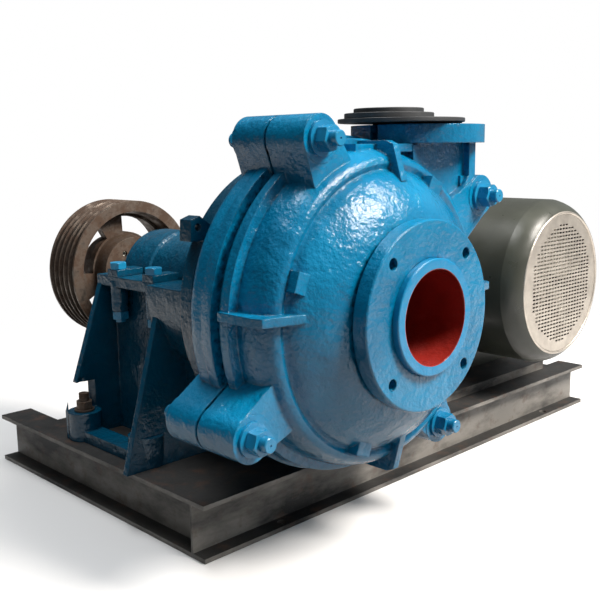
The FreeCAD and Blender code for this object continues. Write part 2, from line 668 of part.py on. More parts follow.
save("shaft_sleeve", sleeve.fuse(ring_y(0, 0, 50.0, SHAFT_R, 386.0, 395.0)))

# ---------------------------------------------------------------- stuffing box, packing and gland
box_neck_r = SLEEVE_R + 0.6
stuffing = revolve_y([
    (CAVITY_BACK_Y, box_neck_r + 8), (CAVITY_BACK_Y, STUFFING_SPIGOT_R), (FRAME_PLATE_BACK_Y, STUFFING_SPIGOT_R),
    (FRAME_PLATE_BACK_Y, 128.0), (FRAME_PLATE_BACK_Y + 12, 128.0), (FRAME_PLATE_BACK_Y + 18, STUFFING_BARREL_R),
    (332.0, STUFFING_BARREL_R), (332.0, STUFFING_BORE_R), (264.0, STUFFING_BORE_R), (264.0, box_neck_r),
    (254.0, box_neck_r),
])
GLAND_STUD_X = 82.0
gland_ears = [box(side * GLAND_STUD_X - 16, side * GLAND_STUD_X + 16, 312.0, 332.0, -18.0, 18.0) for side in (-1, 1)]
stuffing = fuse([stuffing] + gland_ears).cut(rod_y(0, 0, STUFFING_BORE_R, 264.0, 340.0))
for side in (-1, 1):
    stuffing = stuffing.cut(rod_y(side * GLAND_STUD_X, 0, 6.0, 300.0, 340.0))
stuffing = stuffing.cut(rod_z(0, 288.0, 6.0, 40.0, 90.0))
save("stuffing_box", stuffing)
PACKING_IN = SLEEVE_R + RUN_CLEAR
packing = [ring_y(0, 0, STUFFING_BORE_R, PACKING_IN, y0, y1) for y0, y1 in ((264, 280), (296, 309), (309, 322))]
save("packing_rings", packing)
lantern = ring_y(0, 0, STUFFING_BORE_R, SLEEVE_R + 1.0, 280.0, 296.0)
lantern = lantern.cut(ring_y(0, 0, STUFFING_BORE_R + 1, STUFFING_BORE_R - 5, 284.0, 292.0))
for i in range(4):
    lantern = lantern.cut(spin_y(rod_x(288.0, 0, 3.0, 30.0, 60.0), 90.0 * i + 45.0))
save("lantern_ring", lantern)

gland = revolve_y([
    (322.3, SLEEVE_R + 1.0), (322.3, STUFFING_BORE_R - 0.3), (342.0, STUFFING_BORE_R - 0.3), (342.0, 66.0),
    (356.0, 66.0), (356.0, SLEEVE_R + 1.0),
])
gland_bar = box(-GLAND_STUD_X - 18, GLAND_STUD_X + 18, 342.0, 356.0, -20.0, 20.0)
gland = gland.fuse(gland_bar).cut(rod_y(0, 0, SLEEVE_R + 1.0, 300.0, 380.0))
for side in (-1, 1):
    gland = gland.cut(rod_y(side * GLAND_STUD_X, 0, 7.0, 330.0, 370.0))
save("gland", gland)
gland_studs = []
gland_nuts = []
for side in (-1, 1):
    gx = side * GLAND_STUD_X
    gland_studs.append(rod_y(gx, 0, 6.0, 312.0, 386.0))
    gland_nuts.append(hexagon_y(gx, 0, 19.0, 356.0, 366.0).cut(rod_y(gx, 0, 6.3, 340.0, 380.0)))
save("gland_studs", gland_studs)
save("gland_nuts", gland_nuts)

# ---------------------------------------------------------------- bearing cartridge
housing = revolve_y([
    (HOUSING_FRONT_Y, BEARING_OUTER_R), (HOUSING_FRONT_Y, HOUSING_R - 3), (HOUSING_FRONT_Y + 3, HOUSING_R),
    (HOUSING_FRONT_Y + 72, HOUSING_R), (HOUSING_FRONT_Y + 76, HOUSING_R - 5), (HOUSING_BACK_Y - 76, HOUSING_R - 5),
    (HOUSING_BACK_Y - 72, HOUSING_R), (HOUSING_BACK_Y - 3, HOUSING_R), (HOUSING_BACK_Y, HOUSING_R - 3),
    (HOUSING_BACK_Y, BEARING_OUTER_R), (REAR_BEARING_Y, BEARING_OUTER_R), (REAR_BEARING_Y, 62.0),
    (FRONT_BEARING_Y + BEARING_WIDTH, 62.0), (FRONT_BEARING_Y + BEARING_WIDTH, BEARING_OUTER_R),
])
ADJUST_Y = 560.0
housing_lug = box(-14.0, 14.0, ADJUST_Y - 20, ADJUST_Y + 20, -130.0, -88.0)
housing_lug = housing_lug.cut(rod_y(0, -116.0, 8.0, ADJUST_Y - 30, ADJUST_Y + 30))
housing = housing.fuse(housing_lug)
COVER_SCREW_R = 84.0
screw_spots = []
for i in range(6):
    a = math.radians(30 + 60 * i)
    screw_spots.append((COVER_SCREW_R * math.cos(a), COVER_SCREW_R * math.sin(a)))
for x, z in screw_spots:
    housing = housing.cut(rod_y(x, z, 5.0, HOUSING_FRONT_Y - 1, HOUSING_FRONT_Y + 25))
    housing = housing.cut(rod_y(x, z, 5.0, HOUSING_BACK_Y - 25, HOUSING_BACK_Y + 1))
save("bearing_housing", housing)

END_COVER_T = 14.0
front_cover = revolve_y([
    (HOUSING_FRONT_Y - END_COVER_T, SHAFT_R + 20), (HOUSING_FRONT_Y - END_COVER_T, HOUSING_R - 2),
    (HOUSING_FRONT_Y, HOUSING_R - 2), (HOUSING_FRONT_Y, BEARING_OUTER_R - 0.1),
    (FRONT_BEARING_Y, BEARING_OUTER_R - 0.1), (FRONT_BEARING_Y, 60.0), (HOUSING_FRONT_Y, 52.0),
])
back_cover = revolve_y([
    (HOUSING_BACK_Y + END_COVER_T, SHAFT_R + 20), (HOUSING_BACK_Y + END_COVER_T, HOUSING_R - 2),
    (HOUSING_BACK_Y, HOUSING_R - 2), (HOUSING_BACK_Y, BEARING_OUTER_R - 0.1),
    (REAR_BEARING_Y + BEARING_WIDTH, BEARING_OUTER_R - 0.1), (REAR_BEARING_Y + BEARING_WIDTH, 60.0),
    (HOUSING_BACK_Y, 52.0),
])
end_covers = []
cover_screws = []
for cover_shape, y_out, direction in ((front_cover, HOUSING_FRONT_Y - END_COVER_T, -1),
                                      (back_cover, HOUSING_BACK_Y + END_COVER_T, 1)):
    for x, z in screw_spots:
        cover_shape = cover_shape.cut(rod_y(x, z, 5.0, y_out - 30, y_out + 30))
        head = (y_out - 6.4, y_out) if direction < 0 else (y_out, y_out + 6.4)
        body = (y_out - 1, y_out + 34) if direction < 0 else (y_out - 34, y_out + 1)
        screw = hexagon_y(x, z, 17.0, head[0], head[1]).fuse(rod_y(x, z, 5.0, body[0], body[1]))
        cover_screws.append(screw)
    end_covers.append(cover_shape)
save("bearing_end_covers", end_covers)
save("bearing_cover_screws", cover_screws)

INNER_RING_R = 49.0
OUTER_RING_IN = 61.0
ROLLER_R = 5.92
ROLLER_COUNT = 16
outer_rings = []
inner_rings = []
rollers = []
for y0 in (FRONT_BEARING_Y, REAR_BEARING_Y):
    y1 = y0 + BEARING_WIDTH
    outer_rings.append(ring_y(0, 0, BEARING_OUTER_R, OUTER_RING_IN, y0, y1))
    inner_rings.append(ring_y(0, 0, INNER_RING_R, BEARING_SEAT_R, y0, y1))
    for i in range(ROLLER_COUNT):
        a = math.radians(360.0 / ROLLER_COUNT * i)
        mid = (INNER_RING_R + OUTER_RING_IN) / 2
        rollers.append(rod_y(mid * math.cos(a), mid * math.sin(a), ROLLER_R, y0 + 5, y1 - 5))
save("bearing_outer_rings", outer_rings)
save("bearing_inner_rings", inner_rings)
save("bearing_rollers", rollers)

labyrinths = [
    ring_y(0, 0, SHAFT_R + 19.9, BEARING_SEAT_R, 400.0, 470.0),
    ring_y(0, 0, SHAFT_R + 19.9, BEARING_SEAT_R, REAR_BEARING_Y + BEARING_WIDTH, 726.0),
]
save("labyrinth_rings", labyrinths)

# ---------------------------------------------------------------- pulley
def grooved_rim(radius, front_y):
    """Outline corners of a V-grooved rim, front edge to back edge."""
    corners = [(front_y, radius)]
    for i in range(GROOVE_COUNT):
        mid = front_y + GROOVE_EDGE + GROOVE_PITCH * i
        corners.append((mid - GROOVE_TOP_HALF, radius))
        corners.append((mid - GROOVE_BOTTOM_HALF, radius - GROOVE_DEPTH))
        corners.append((mid + GROOVE_BOTTOM_HALF, radius - GROOVE_DEPTH))
        corners.append((mid + GROOVE_TOP_HALF, radius))
    corners.append((front_y + 2 * GROOVE_EDGE + GROOVE_PITCH * (GROOVE_COUNT - 1), radius))
    return corners


PULLEY_BACK_Y = PULLEY_FRONT_Y + 2 * GROOVE_EDGE + GROOVE_PITCH * (GROOVE_COUNT - 1)
PULLEY_INNER_R = PULLEY_R - GROOVE_DEPTH - PULLEY_RIM_T
PULLEY_HUB_R = 72.0
BUSH_R = 52.0
WEB_Y0 = 852.0
WEB_Y1 = 872.0
pulley = revolve_y(grooved_rim(PULLEY_R, PULLEY_FRONT_Y) + [
    (PULLEY_BACK_Y, PULLEY_INNER_R), (WEB_Y1, PULLEY_INNER_R - 6), (WEB_Y1, PULLEY_HUB_R + 6), (PULLEY_BACK_Y, PULLEY_HUB_R),
    (PULLEY_BACK_Y, BUSH_R), (PULLEY_FRONT_Y + 4, BUSH_R + 4), (PULLEY_FRONT_Y + 4, PULLEY_HUB_R),
    (WEB_Y0, PULLEY_HUB_R + 6), (WEB_Y0, PULLEY_INNER_R - 6), (PULLEY_FRONT_Y, PULLEY_INNER_R),
])


def web_window(angle):
    """Kidney-shaped window between the hub and the rim."""
    r_in = PULLEY_HUB_R + 11.0
    r_out = PULLEY_INNER_R - 11.0
    span = 30.0
    inner = []
    outer = []
    steps = 6
    for i in range(steps + 1):
        a = math.radians(angle - span + 2 * span * i / steps)
        inner.append((r_in * math.cos(a), r_in * math.sin(a)))
        outer.append((r_out * math.cos(a), r_out * math.sin(a)))
    return prism_y(inner + outer[::-1], WEB_Y0 - 5, WEB_Y1 + 5)


for i in range(PULLEY_SPOKE_HOLES):
    pulley = pulley.cut(web_window(62.0 + 90.0 * i))
save("pump_pulley", pulley)

bush = revolve_y([
    (PULLEY_FRONT_Y + 4, SHAFT_R), (PULLEY_FRONT_Y + 4, BUSH_R + 4), (PULLEY_BACK_Y, BUSH_R), (PULLEY_BACK_Y, SHAFT_R),
])
bush = bush.cut(box(-KEY_W / 2, KEY_W / 2, KEY_Y0 - 20, KEY_Y1 + 20, SHAFT_R - 5, SHAFT_R + 4))
bush = bush.cut(box(-1.5, 1.5, PULLEY_FRONT_Y, PULLEY_BACK_Y + 1, -BUSH_R - 8, -SHAFT_R + 4))
BUSH_SCREW_R = 43.0
bush_screws = []
for a_deg in (120.0, 0.0):
    a = math.radians(a_deg)
    sx, sz = BUSH_SCREW_R * math.cos(a), BUSH_SCREW_R * math.sin(a)
    bush = bush.cut(rod_y(sx, sz, 6.0, PULLEY_FRONT_Y, PULLEY_FRONT_Y + 30))
    screw = rod_y(sx, sz, 6.0, PULLEY_FRONT_Y + 8, PULLEY_FRONT_Y + 30)
    bush_screws.append(screw.cut(hexagon_y(sx, sz, 6.0, PULLEY_FRONT_Y + 7, PULLEY_FRONT_Y + 14)))
save("pulley_taper_bush", bush)
save("taper_bush_screws", bush_screws)

# ---------------------------------------------------------------- pump frame (pedestal)
frame_low = BASE_TOP_Z
ring_flange = ring_y(0, 0, RING_R, 150.0, RING_FRONT_Y, RING_FRONT_Y + RING_T)
ear = prism_y([(-212.0, 118.0), (-242.0, 118.0), (-240.0, 152.0), (-222.0, 158.0), (-196.0, 140.0)],
              RING_FRONT_Y, RING_FRONT_Y + RING_T)
ear = ear.cut(rod_y(-226.0, 140.0, 6.0, RING_FRONT_Y - 1, RING_FRONT_Y + RING_T + 1))
barrel = ring_y(0, 0, 178.0, 160.0, RING_FRONT_Y + 2, 512.0)
barrel = barrel.common(box(-200, 200, RING_FRONT_Y, 520.0, -200, CRADLE_TOP_Z))
saddle = ring_y(0, 0, CRADLE_R, HOUSING_R + RUN_CLEAR, CRADLE_FRONT_Y + 26, CRADLE_BACK_Y - 18)
saddle = saddle.common(box(-200, 200, 400.0, 720.0, -200, CRADLE_TOP_Z))
top_left = box(-CRADLE_X, -HOUSING_R - 4, CRADLE_FRONT_Y, CRADLE_BACK_Y, CRADLE_TOP_Z - 20, CRADLE_TOP_Z)
top_right = box(HOUSING_R + 4, CRADLE_X, CRADLE_FRONT_Y, CRADLE_BACK_Y, CRADLE_TOP_Z - 20, CRADLE_TOP_Z)
top_arms = []
for side in (-1, 1):
    x0, x1 = sorted((side * 178.0, side * 140.0))
    top_arms.append(box(x0, x1, RING_FRONT_Y + RING_T - 2, CRADLE_FRONT_Y + 40, CRADLE_TOP_Z - 20, CRADLE_TOP_Z))
WEB_T = 14.0
WEB_X = 126.0
CRADLE_LOW_Z = CRADLE_TOP_Z - 20.0
webs = []
for side in (-1, 1):
    x0, x1 = sorted((side * WEB_X, side * (WEB_X - WEB_T)))
    webs.append(box(x0, x1, 500.0, CRADLE_BACK_Y - 8, frame_low, CRADLE_LOW_Z + 2))


def leg_rib(side, y0, y1, low_x):
    """Rib that spreads from the cradle flange out to a foot."""
    outline = [
        (side * (WEB_X - 4), CRADLE_LOW_Z + 2), (side * CRADLE_X, CRADLE_LOW_Z + 2), (side * low_x, frame_low + FOOT_H),
        (side * low_x, frame_low), (side * (WEB_X - 4), frame_low),
    ]
    return prism_y(outline, y0, y1)


ribs = []
for side in (-1, 1):
    ribs.append(leg_rib(side, CRADLE_BACK_Y - WEB_T, CRADLE_BACK_Y, FOOT_X + FOOT_R - 3))
    ribs.append(leg_rib(side, 490.0, 506.0, FOOT_X + 8.0))
front_wall = box(-WEB_X, WEB_X, 490.0, 506.0, frame_low, CRADLE_LOW_Z + 2).cut(rod_y(0, 0, 150.0, 480.0, 520.0))
ledges = [
    box(-FOOT_X - 18, FOOT_X + 18, 452.0, 506.0, frame_low, frame_low + 16),
    box(-FOOT_X - 20, -FOOT_X + 22, 460.0, CRADLE_BACK_Y, frame_low, frame_low + 22),
    box(FOOT_X - 22, FOOT_X + 20, 460.0, CRADLE_BACK_Y, frame_low, frame_low + 22),
]
feet = []
for side in (-1, 1):
    for y in (FOOT_FRONT_Y, FOOT_REAR_Y):
        feet.append(rod_z(side * FOOT_X, y, FOOT_R, frame_low, frame_low + FOOT_H))
CLAMP_X = 144.0
CLAMP_YS = (536.0, 655.0)
CLAMP_R = 10.0
CLAMP_BOSS_LOW = -52.0
arm_webs = []
clamp_bosses = []
for side in (-1, 1):
    x0, x1 = sorted((side * 112.0, side * 126.0))
    arm_webs.append(prism_x([(300.0, -160.0), (300.0, -90.0), (500.0, -100.0), (500.0, -280.0)], x0, x1))
    for y in CLAMP_YS:
        clamp_bosses.append(rod_z(side * CLAMP_X, y, 17.0, CLAMP_BOSS_LOW, CRADLE_TOP_Z - 10))
pump_frame = fuse([ring_flange, ear, barrel, saddle, top_left, top_right, front_wall] + top_arms + webs + ribs
                  + ledges + feet + arm_webs + clamp_bosses)
cartridge_room = rod_y(0, 0, HOUSING_R + RUN_CLEAR, CRADLE_FRONT_Y - 60, CRADLE_BACK_Y + 10)
pump_frame = pump_frame.cut(cartridge_room)
for side in (-1, 1):
    for y in (FOOT_FRONT_Y, FOOT_REAR_Y):
        pump_frame = pump_frame.cut(rod_z(side * FOOT_X, y, FOOT_HOLE_R, frame_low - 1, frame_low + 120))
        pump_frame = pump_frame.cut(rod_z(side * FOOT_X, y, FOOT_R - 1, frame_low + FOOT_H, frame_low + 112))
for x, z in stud_spots:
    pump_frame = pump_frame.cut(rod_y(x, z, STUD_R + 1, RING_FRONT_Y - 1, RING_FRONT_Y + 40))
for side in (-1, 1):
    for y in CLAMP_YS:
        pump_frame = pump_frame.cut(rod_z(side * CLAMP_X, y, CLAMP_R, -100.0, 60.0))
ADJUST_Z = -116.0
adjust_room = box(-20.0, 20.0, ADJUST_Y - 40, ADJUST_Y + 40, -140.0, -90.0)
pump_frame = pump_frame.cut(adjust_room)
lug_blocks = [box(-16.0, 16.0, y0, y0 + 14.0, -136.0, -108.0) for y0 in (ADJUST_Y - 56.0, ADJUST_Y + 42.0)]
pump_frame = fuse([pump_frame] + lug_blocks)
pump_frame = pump_frame.cut(rod_y(0, ADJUST_Z, 8.0, ADJUST_Y - 70, ADJUST_Y + 70))
save("pump_frame", pump_frame)

# Studs that hold the frame plate against the pump frame
studs = []
stud_nuts = []
for x, z in stud_spots:
    studs.append(rod_y(x, z, STUD_R, FRAME_PLATE_BACK_Y + 3, RING_FRONT_Y + RING_T + 24))
    nut = hexagon_y(x, z, 30.0, RING_FRONT_Y + RING_T, RING_FRONT_Y + RING_T + 18)
    stud_nuts.append(nut.cut(rod_y(x, z, STUD_R, 280.0, 360.0)))
save("frame_plate_studs", [stud.fuse(nut) for stud, nut in zip(studs, stud_nuts)])

# Foot studs, each with its nut and washer
foot_bolts = []
foot_top = frame_low + FOOT_H
for side in (-1, 1):
    stud_low = frame_low - (BEAM_FLANGE_T if side < 0 else DECK_T)
    for y in (FOOT_FRONT_Y, FOOT_REAR_Y):
        fx = side * FOOT_X
        stud = rod_z(fx, y, 10.0, stud_low, foot_top + 36.0)
        washer = rod_z(fx, y, 20.0, foot_top, foot_top + 4)
        nut = hexagon_z(fx, y, 30.0, foot_top + 4, foot_top + 20)
        foot_bolts.append(fuse([stud, washer, nut]))
save("frame_foot_studs", foot_bolts)

# Clamps that hold the bearing cartridge down in its cradle
clamp_pads = []
clamp_bolts = []
pad_top = CRADLE_TOP_Z + 14.0
for side in (-1, 1):
    for y in CLAMP_YS:
        cx = side * CLAMP_X
        x0, x1 = sorted((side * (HOUSING_R + 0.4), side * (CLAMP_X + 14.0)))
        pad = box(x0, x1, y - 17, y + 17, CRADLE_TOP_Z, pad_top)
        clamp_pads.append(pad.cut(rod_z(cx, y, CLAMP_R, 0.0, 60.0)))
        bolt = rod_z(cx, y, CLAMP_R, CLAMP_BOSS_LOW - 22, pad_top + 1)
        bolt = bolt.fuse(hexagon_z(cx, y, 30.0, pad_top, pad_top + 13))
        lower_nut = hexagon_z(cx, y, 30.0, CLAMP_BOSS_LOW - 16, CLAMP_BOSS_LOW)
        clamp_bolts.append(bolt.fuse(lower_nut))
save("cartridge_clamp_pads", clamp_pads)
save("cartridge_clamp_bolts", clamp_bolts)

adjust_screw = rod_y(0, ADJUST_Z, 7.7, ADJUST_Y - 60, ADJUST_Y + 60)
adjust_nuts = [hexagon_y(0, ADJUST_Z, 24.0, ADJUST_Y - 33, ADJUST_Y - 20.2), hexagon_y(0, ADJUST_Z, 24.0, ADJUST_Y + 20.2, ADJUST_Y + 33)]
save("adjusting_screw", fuse([adjust_screw] + adjust_nuts))

# ---------------------------------------------------------------- motor
MX, MZ = MOTOR_X, MOTOR_Z
cowl_edge = [(MOTOR_FACE_Y, GRILLE_R), (MOTOR_FACE_Y + 8, 171.0), (MOTOR_FACE_Y + 22, 180.0), (MOTOR_FACE_Y + 42, COWL_R)]
cowl_inner = [(MOTOR_FACE_Y + 42, COWL_R - COWL_T), (MOTOR_FACE_Y + 22, 177.5), (MOTOR_FACE_Y + 9, 168.5),
              (MOTOR_FACE_Y + 2, 160.0)]
cowl = smooth_revolve_y([
    cowl_edge,
    [cowl_edge[-1], (COWL_BACK_Y, COWL_R)],
    [(COWL_BACK_Y, COWL_R), (COWL_BACK_Y, COWL_R - COWL_T)],
    [(COWL_BACK_Y, COWL_R - COWL_T), cowl_inner[0]],
    cowl_inner,
    [cowl_inner[-1], (MOTOR_FACE_Y + 2, GRILLE_R - 6)],
    [(MOTOR_FACE_Y + 2, GRILLE_R - 6), (MOTOR_FACE_Y, GRILLE_R - 6)],
    [(MOTOR_FACE_Y, GRILLE_R - 6), cowl_edge[0]],
], MX, MZ)
save("fan_cowl", cowl)

# Perforated guard: rows of short slots inside a plain rim
GUARD_R = GRILLE_R - 6.0
SLOT_ROW_PITCH = 14.0
SLOT_PITCH = 26.0
SLOT_W = 20.0
SLOT_H = 6.0
guard = rod_y(MX, MZ, GUARD_R, MOTOR_FACE_Y, MOTOR_FACE_Y + 2)
slots = []
rows = int(GUARD_R * 2 / SLOT_ROW_PITCH)
for row in range(-rows // 2, rows // 2 + 1):
    dz = row * SLOT_ROW_PITCH
    reach = GUARD_R - 20.0
    if abs(dz) >= reach - 8:
        continue
    half_span = math.sqrt(reach * reach - dz * dz)
    count = int(half_span / SLOT_PITCH)
    for col in range(-count, count + 1):
        dx = col * SLOT_PITCH
        slots.append(box(MX + dx - SLOT_W / 2, MX + dx + SLOT_W / 2, MOTOR_FACE_Y - 1, MOTOR_FACE_Y + 3,
                         MZ + dz - SLOT_H / 2, MZ + dz + SLOT_H / 2))
guard = guard.cut(Part.makeCompound(slots))
save("fan_guard", guard)

FAN_Y0 = 215.0
FAN_Y1 = 275.0
fan_disc = rod_y(MX, MZ, 138.0, FAN_Y1 - 5, FAN_Y1)
fan_hub = rod_y(MX, MZ, 40.0, FAN_Y0, FAN_Y1)
blades = []
for i in range(7):
    blade = box(MX + 36.0, MX + 150.0, FAN_Y0, FAN_Y1, MZ - 3, MZ + 3)
    blades.append(spin_y(blade, 360.0 / 7 * i, MX, MZ))
fan = fuse([fan_disc, fan_hub] + blades).cut(rod_y(MX, MZ, 20.0, 200.0, 300.0))
save("cooling_fan", fan)

motor_shaft = revolve_y([
    (FAN_Y0 - 2, 0.0), (FAN_Y0 - 2, 20.0), (FAN_Y1, 20.0), (FAN_Y1, 27.5), (360.0, 27.5), (360.0, 32.5),
    (400.0, 32.5), (400.0, 38.0), (720.0, 38.0), (720.0, 32.5), (770.0, 32.5), (770.0, 27.5),
    (MOTOR_SHOULDER_Y, 27.5), (MOTOR_SHOULDER_Y, MOTOR_SHAFT_R), (MOTOR_SHAFT_END_Y - 2, MOTOR_SHAFT_R),
    (MOTOR_SHAFT_END_Y, MOTOR_SHAFT_R - 2), (MOTOR_SHAFT_END_Y, 0.0),
], MX, MZ)
ROTOR_R = 98.0
save("rotor_core", ring_y(MX, MZ, ROTOR_R, 38.0, 440.0, 680.0))
save("stator_core", ring_y(MX, MZ, MOTOR_BODY_R - 12.0, ROTOR_R + 0.8, 440.0, 680.0))
winding_ends = [ring_y(MX, MZ, 138.0, 106.0, 400.0, 440.0), ring_y(MX, MZ, 138.0, 106.0, 680.0, 720.0)]
save("stator_windings", winding_ends)

# Finned motor frame with feet
BODY_Y0 = 352.0
frame_tube = ring_y(MX, MZ, MOTOR_BODY_R, MOTOR_BODY_R - 12.0, BODY_Y0, MOTOR_BODY_BACK_Y)
fins = []
FIN_COUNT = 40
for i in range(FIN_COUNT):
    angle = 360.0 / FIN_COUNT * i
    if 60.0 < angle < 120.0 or 255.0 < angle < 285.0:
        continue
    fin = box(MX + MOTOR_BODY_R - 3, MX + MOTOR_FIN_R, BODY_Y0 + 10, MOTOR_BODY_BACK_Y - 10, MZ - 2, MZ + 2)
    fins.append(spin_y(fin, -angle, MX, MZ))
feet = []
foot_z = MZ - MOTOR_H
for y in (MOTOR_FOOT_FRONT_Y, MOTOR_FOOT_BACK_Y):
    for side in (-1, 1):
        xm = MX + side * MOTOR_FOOT_X
        pad = box(xm - 36, xm + 36, y - 32, y + 32, foot_z, foot_z + 22)
        web = prism_y([(xm - side * 34, foot_z + 10), (xm - side * 16, foot_z + 10), (xm - side * 16, MZ - 90),
                       (xm - side * 50, MZ - 100)], y - 30, y + 30)
        feet.extend([pad, web])
top_boss = box(MX - 70, MX + 70, 500.0, 640.0, MZ + 135, MZ + 178)
eye_boss = rod_z(MX, 470.0, 16.0, MZ + 140, MZ + 172)
motor_frame = fuse([frame_tube] + fins + feet + [top_boss, eye_boss])
motor_frame = motor_frame.cut(rod_y(MX, MZ, MOTOR_BODY_R - 12.0, 300.0, 800.0))
for y in (MOTOR_FOOT_FRONT_Y, MOTOR_FOOT_BACK_Y):
    for side in (-1, 1):
        motor_frame = motor_frame.cut(rod_z(MX + side * MOTOR_FOOT_X, y, 7.5, foot_z - 1, foot_z + 60))
motor_frame = motor_frame.cut(rod_z(MX, 470.0, 8.0, MZ + 155, MZ + 180))
save("motor_frame", motor_frame)

shield_front = revolve_y([
    (BODY_Y0, MOTOR_BODY_R), (BODY_Y0 - 10, MOTOR_BODY_R), (BODY_Y0 - 14, 70.0), (BODY_Y0 - 22, 60.0),
    (BODY_Y0 - 22, 28.0), (BODY_Y0 + 6, 28.0), (BODY_Y0 + 6, 50.1), (BODY_Y0 + 30, 50.1), (BODY_Y0 + 30, 62.0),
    (BODY_Y0, 70.0),
], MX, MZ)
shield_back = revolve_y([
    (MOTOR_BODY_BACK_Y, MOTOR_BODY_R), (MOTOR_BODY_BACK_Y + 12, MOTOR_BODY_R), (MOTOR_BODY_BACK_Y + 30, 76.0),
    (MOTOR_BODY_BACK_Y + 48, 70.0), (MOTOR_BODY_BACK_Y + 48, 28.0), (MOTOR_BODY_BACK_Y + 12, 28.0),
    (MOTOR_BODY_BACK_Y + 12, 50.1), (MOTOR_BODY_BACK_Y - 14, 50.1), (MOTOR_BODY_BACK_Y - 14, 62.0),
    (MOTOR_BODY_BACK_Y, 70.0),
], MX, MZ)
cowl_seat = rod_y(MX, MZ, COWL_R - COWL_T, 300.0, BODY_Y0)
for i in range(4):
    seat = box(MX + 130.0, MX + COWL_R, COWL_BACK_Y - 16, BODY_Y0 - 1, MZ - 9, MZ + 9)
    shield_front = shield_front.fuse(spin_y(seat, 45.0 + 90.0 * i, MX, MZ).common(cowl_seat))
save("motor_fan_end_shield", shield_front)
save("motor_drive_end_shield", shield_back)
motor_bearings = [
    ring_y(MX, MZ, 50.0, 32.5, BODY_Y0 + 8.5, BODY_Y0 + 30),
    ring_y(MX, MZ, 50.0, 32.5, MOTOR_BODY_BACK_Y - 14, MOTOR_BODY_BACK_Y + 9.5),
]
save("motor_bearings", motor_bearings)

terminal_box = box(MX - 62, MX + 62, 508.0, 632.0, MZ + 178, MZ + 232)
terminal_box = terminal_box.cut(box(MX - 56, MX + 56, 514.0, 626.0, MZ + 184, MZ + 233))
terminal_box = terminal_box.cut(rod_x(570.0, MZ + 205, 20.0, MX + 50, MX + 70))
lid = box(MX - 64, MX + 64, 506.0, 634.0, MZ + 232, MZ + 240)
save("terminal_box_lid", lid)
cable_gland = rod_x(570.0, MZ + 205, 20.0, MX + 56, MX + 62).fuse(rod_x(570.0, MZ + 205, 25.0, MX + 62, MX + 84))
cable_gland = cable_gland.cut(rod_x(570.0, MZ + 205, 13.0, MX + 50, MX + 90))
save("terminal_box", terminal_box.fuse(cable_gland))

eye_ring = Part.makeTorus(22.0, 6.0, vec(MX, 470.0, MZ + 202), vec(0, 1, 0))
eye_stem = rod_z(MX, 470.0, 8.0, MZ + 156, MZ + 184)
eye_collar = rod_z(MX, 470.0, 15.0, MZ + 172, MZ + 180)
save("motor_lifting_eye", fuse([eye_ring, eye_stem, eye_collar]))

rail_bolts = []
for y in (MOTOR_FOOT_FRONT_Y, MOTOR_FOOT_BACK_Y):
    for side in (-1, 1):
        bx = MX + side * MOTOR_FOOT_X
        head = box(bx - 11, bx + 11, y - 12, y + 12, foot_z - 27, foot_z - 14.3)
        shank = rod_z(bx, y, 6.5, foot_z - 20, foot_z + 46)
        nut = hexagon_z(bx, y, 22.0, foot_z + 22, foot_z + 35)
        rail_bolts.append(fuse([head, shank, nut]))
save("motor_rail_bolts", rail_bolts)

motor_pulley = revolve_y(grooved_rim(MOTOR_PULLEY_R, PULLEY_FRONT_Y) + [
    (PULLEY_BACK_Y, MOTOR_SHAFT_R), (MOTOR_SHOULDER_Y, MOTOR_SHAFT_R), (MOTOR_SHOULDER_Y, 60.0), (PULLEY_FRONT_Y, 60.0),
], MX, MZ)
motor_key = box(MX - 7, MX + 7, 832.0, 912.0, MZ + 18.5, MZ + 27.5)
motor_pulley = motor_pulley.cut(motor_key)
save("motor_pulley", motor_pulley)
save("motor_shaft", motor_shaft.fuse(motor_key))
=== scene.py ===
import bpy
import json
import math
from mathutils import Matrix, Vector


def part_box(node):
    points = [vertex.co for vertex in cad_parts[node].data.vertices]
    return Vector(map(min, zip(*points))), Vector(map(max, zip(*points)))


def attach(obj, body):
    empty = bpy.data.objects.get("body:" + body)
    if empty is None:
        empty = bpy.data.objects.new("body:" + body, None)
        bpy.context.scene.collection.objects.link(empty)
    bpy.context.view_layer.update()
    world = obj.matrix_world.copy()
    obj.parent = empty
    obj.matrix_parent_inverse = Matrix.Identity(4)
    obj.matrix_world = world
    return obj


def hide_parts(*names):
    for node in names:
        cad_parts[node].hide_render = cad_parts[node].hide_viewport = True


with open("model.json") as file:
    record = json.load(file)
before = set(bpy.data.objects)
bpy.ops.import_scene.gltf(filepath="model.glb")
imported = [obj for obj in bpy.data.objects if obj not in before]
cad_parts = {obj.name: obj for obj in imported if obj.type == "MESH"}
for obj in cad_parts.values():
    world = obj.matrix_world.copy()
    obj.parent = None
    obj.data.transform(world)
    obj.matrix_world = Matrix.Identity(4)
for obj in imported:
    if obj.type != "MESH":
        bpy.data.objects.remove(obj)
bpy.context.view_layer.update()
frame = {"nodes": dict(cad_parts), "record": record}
NODES = frame["nodes"]


# ---------------------------------------------------------------- materials
def srgb(code):
    """A colour written as sRGB hex, as the linear values that shaders take."""
    channels = [int(code[i:i + 2], 16) / 255 for i in (1, 3, 5)]
    linear = [c / 12.92 if c <= 0.04045 else ((c + 0.055) / 1.055) ** 2.4 for c in channels]
    return (*linear, 1.0)


def add(material, kind, inputs=None, settings=None, output=0):
    """Adds a node with its settings. Sockets among its inputs are linked and other values are set.
    Gives back one of the node's outputs, where it has any."""
    node = material.node_tree.nodes.new(kind)
    for name, value in (settings or {}).items():
        setattr(node, name, value)
    for name, value in (inputs or {}).items():
        if isinstance(value, bpy.types.NodeSocket):
            material.node_tree.links.new(value, node.inputs[name])
        else:
            node.inputs[name].default_value = value
    return node.outputs[output] if node.outputs else None


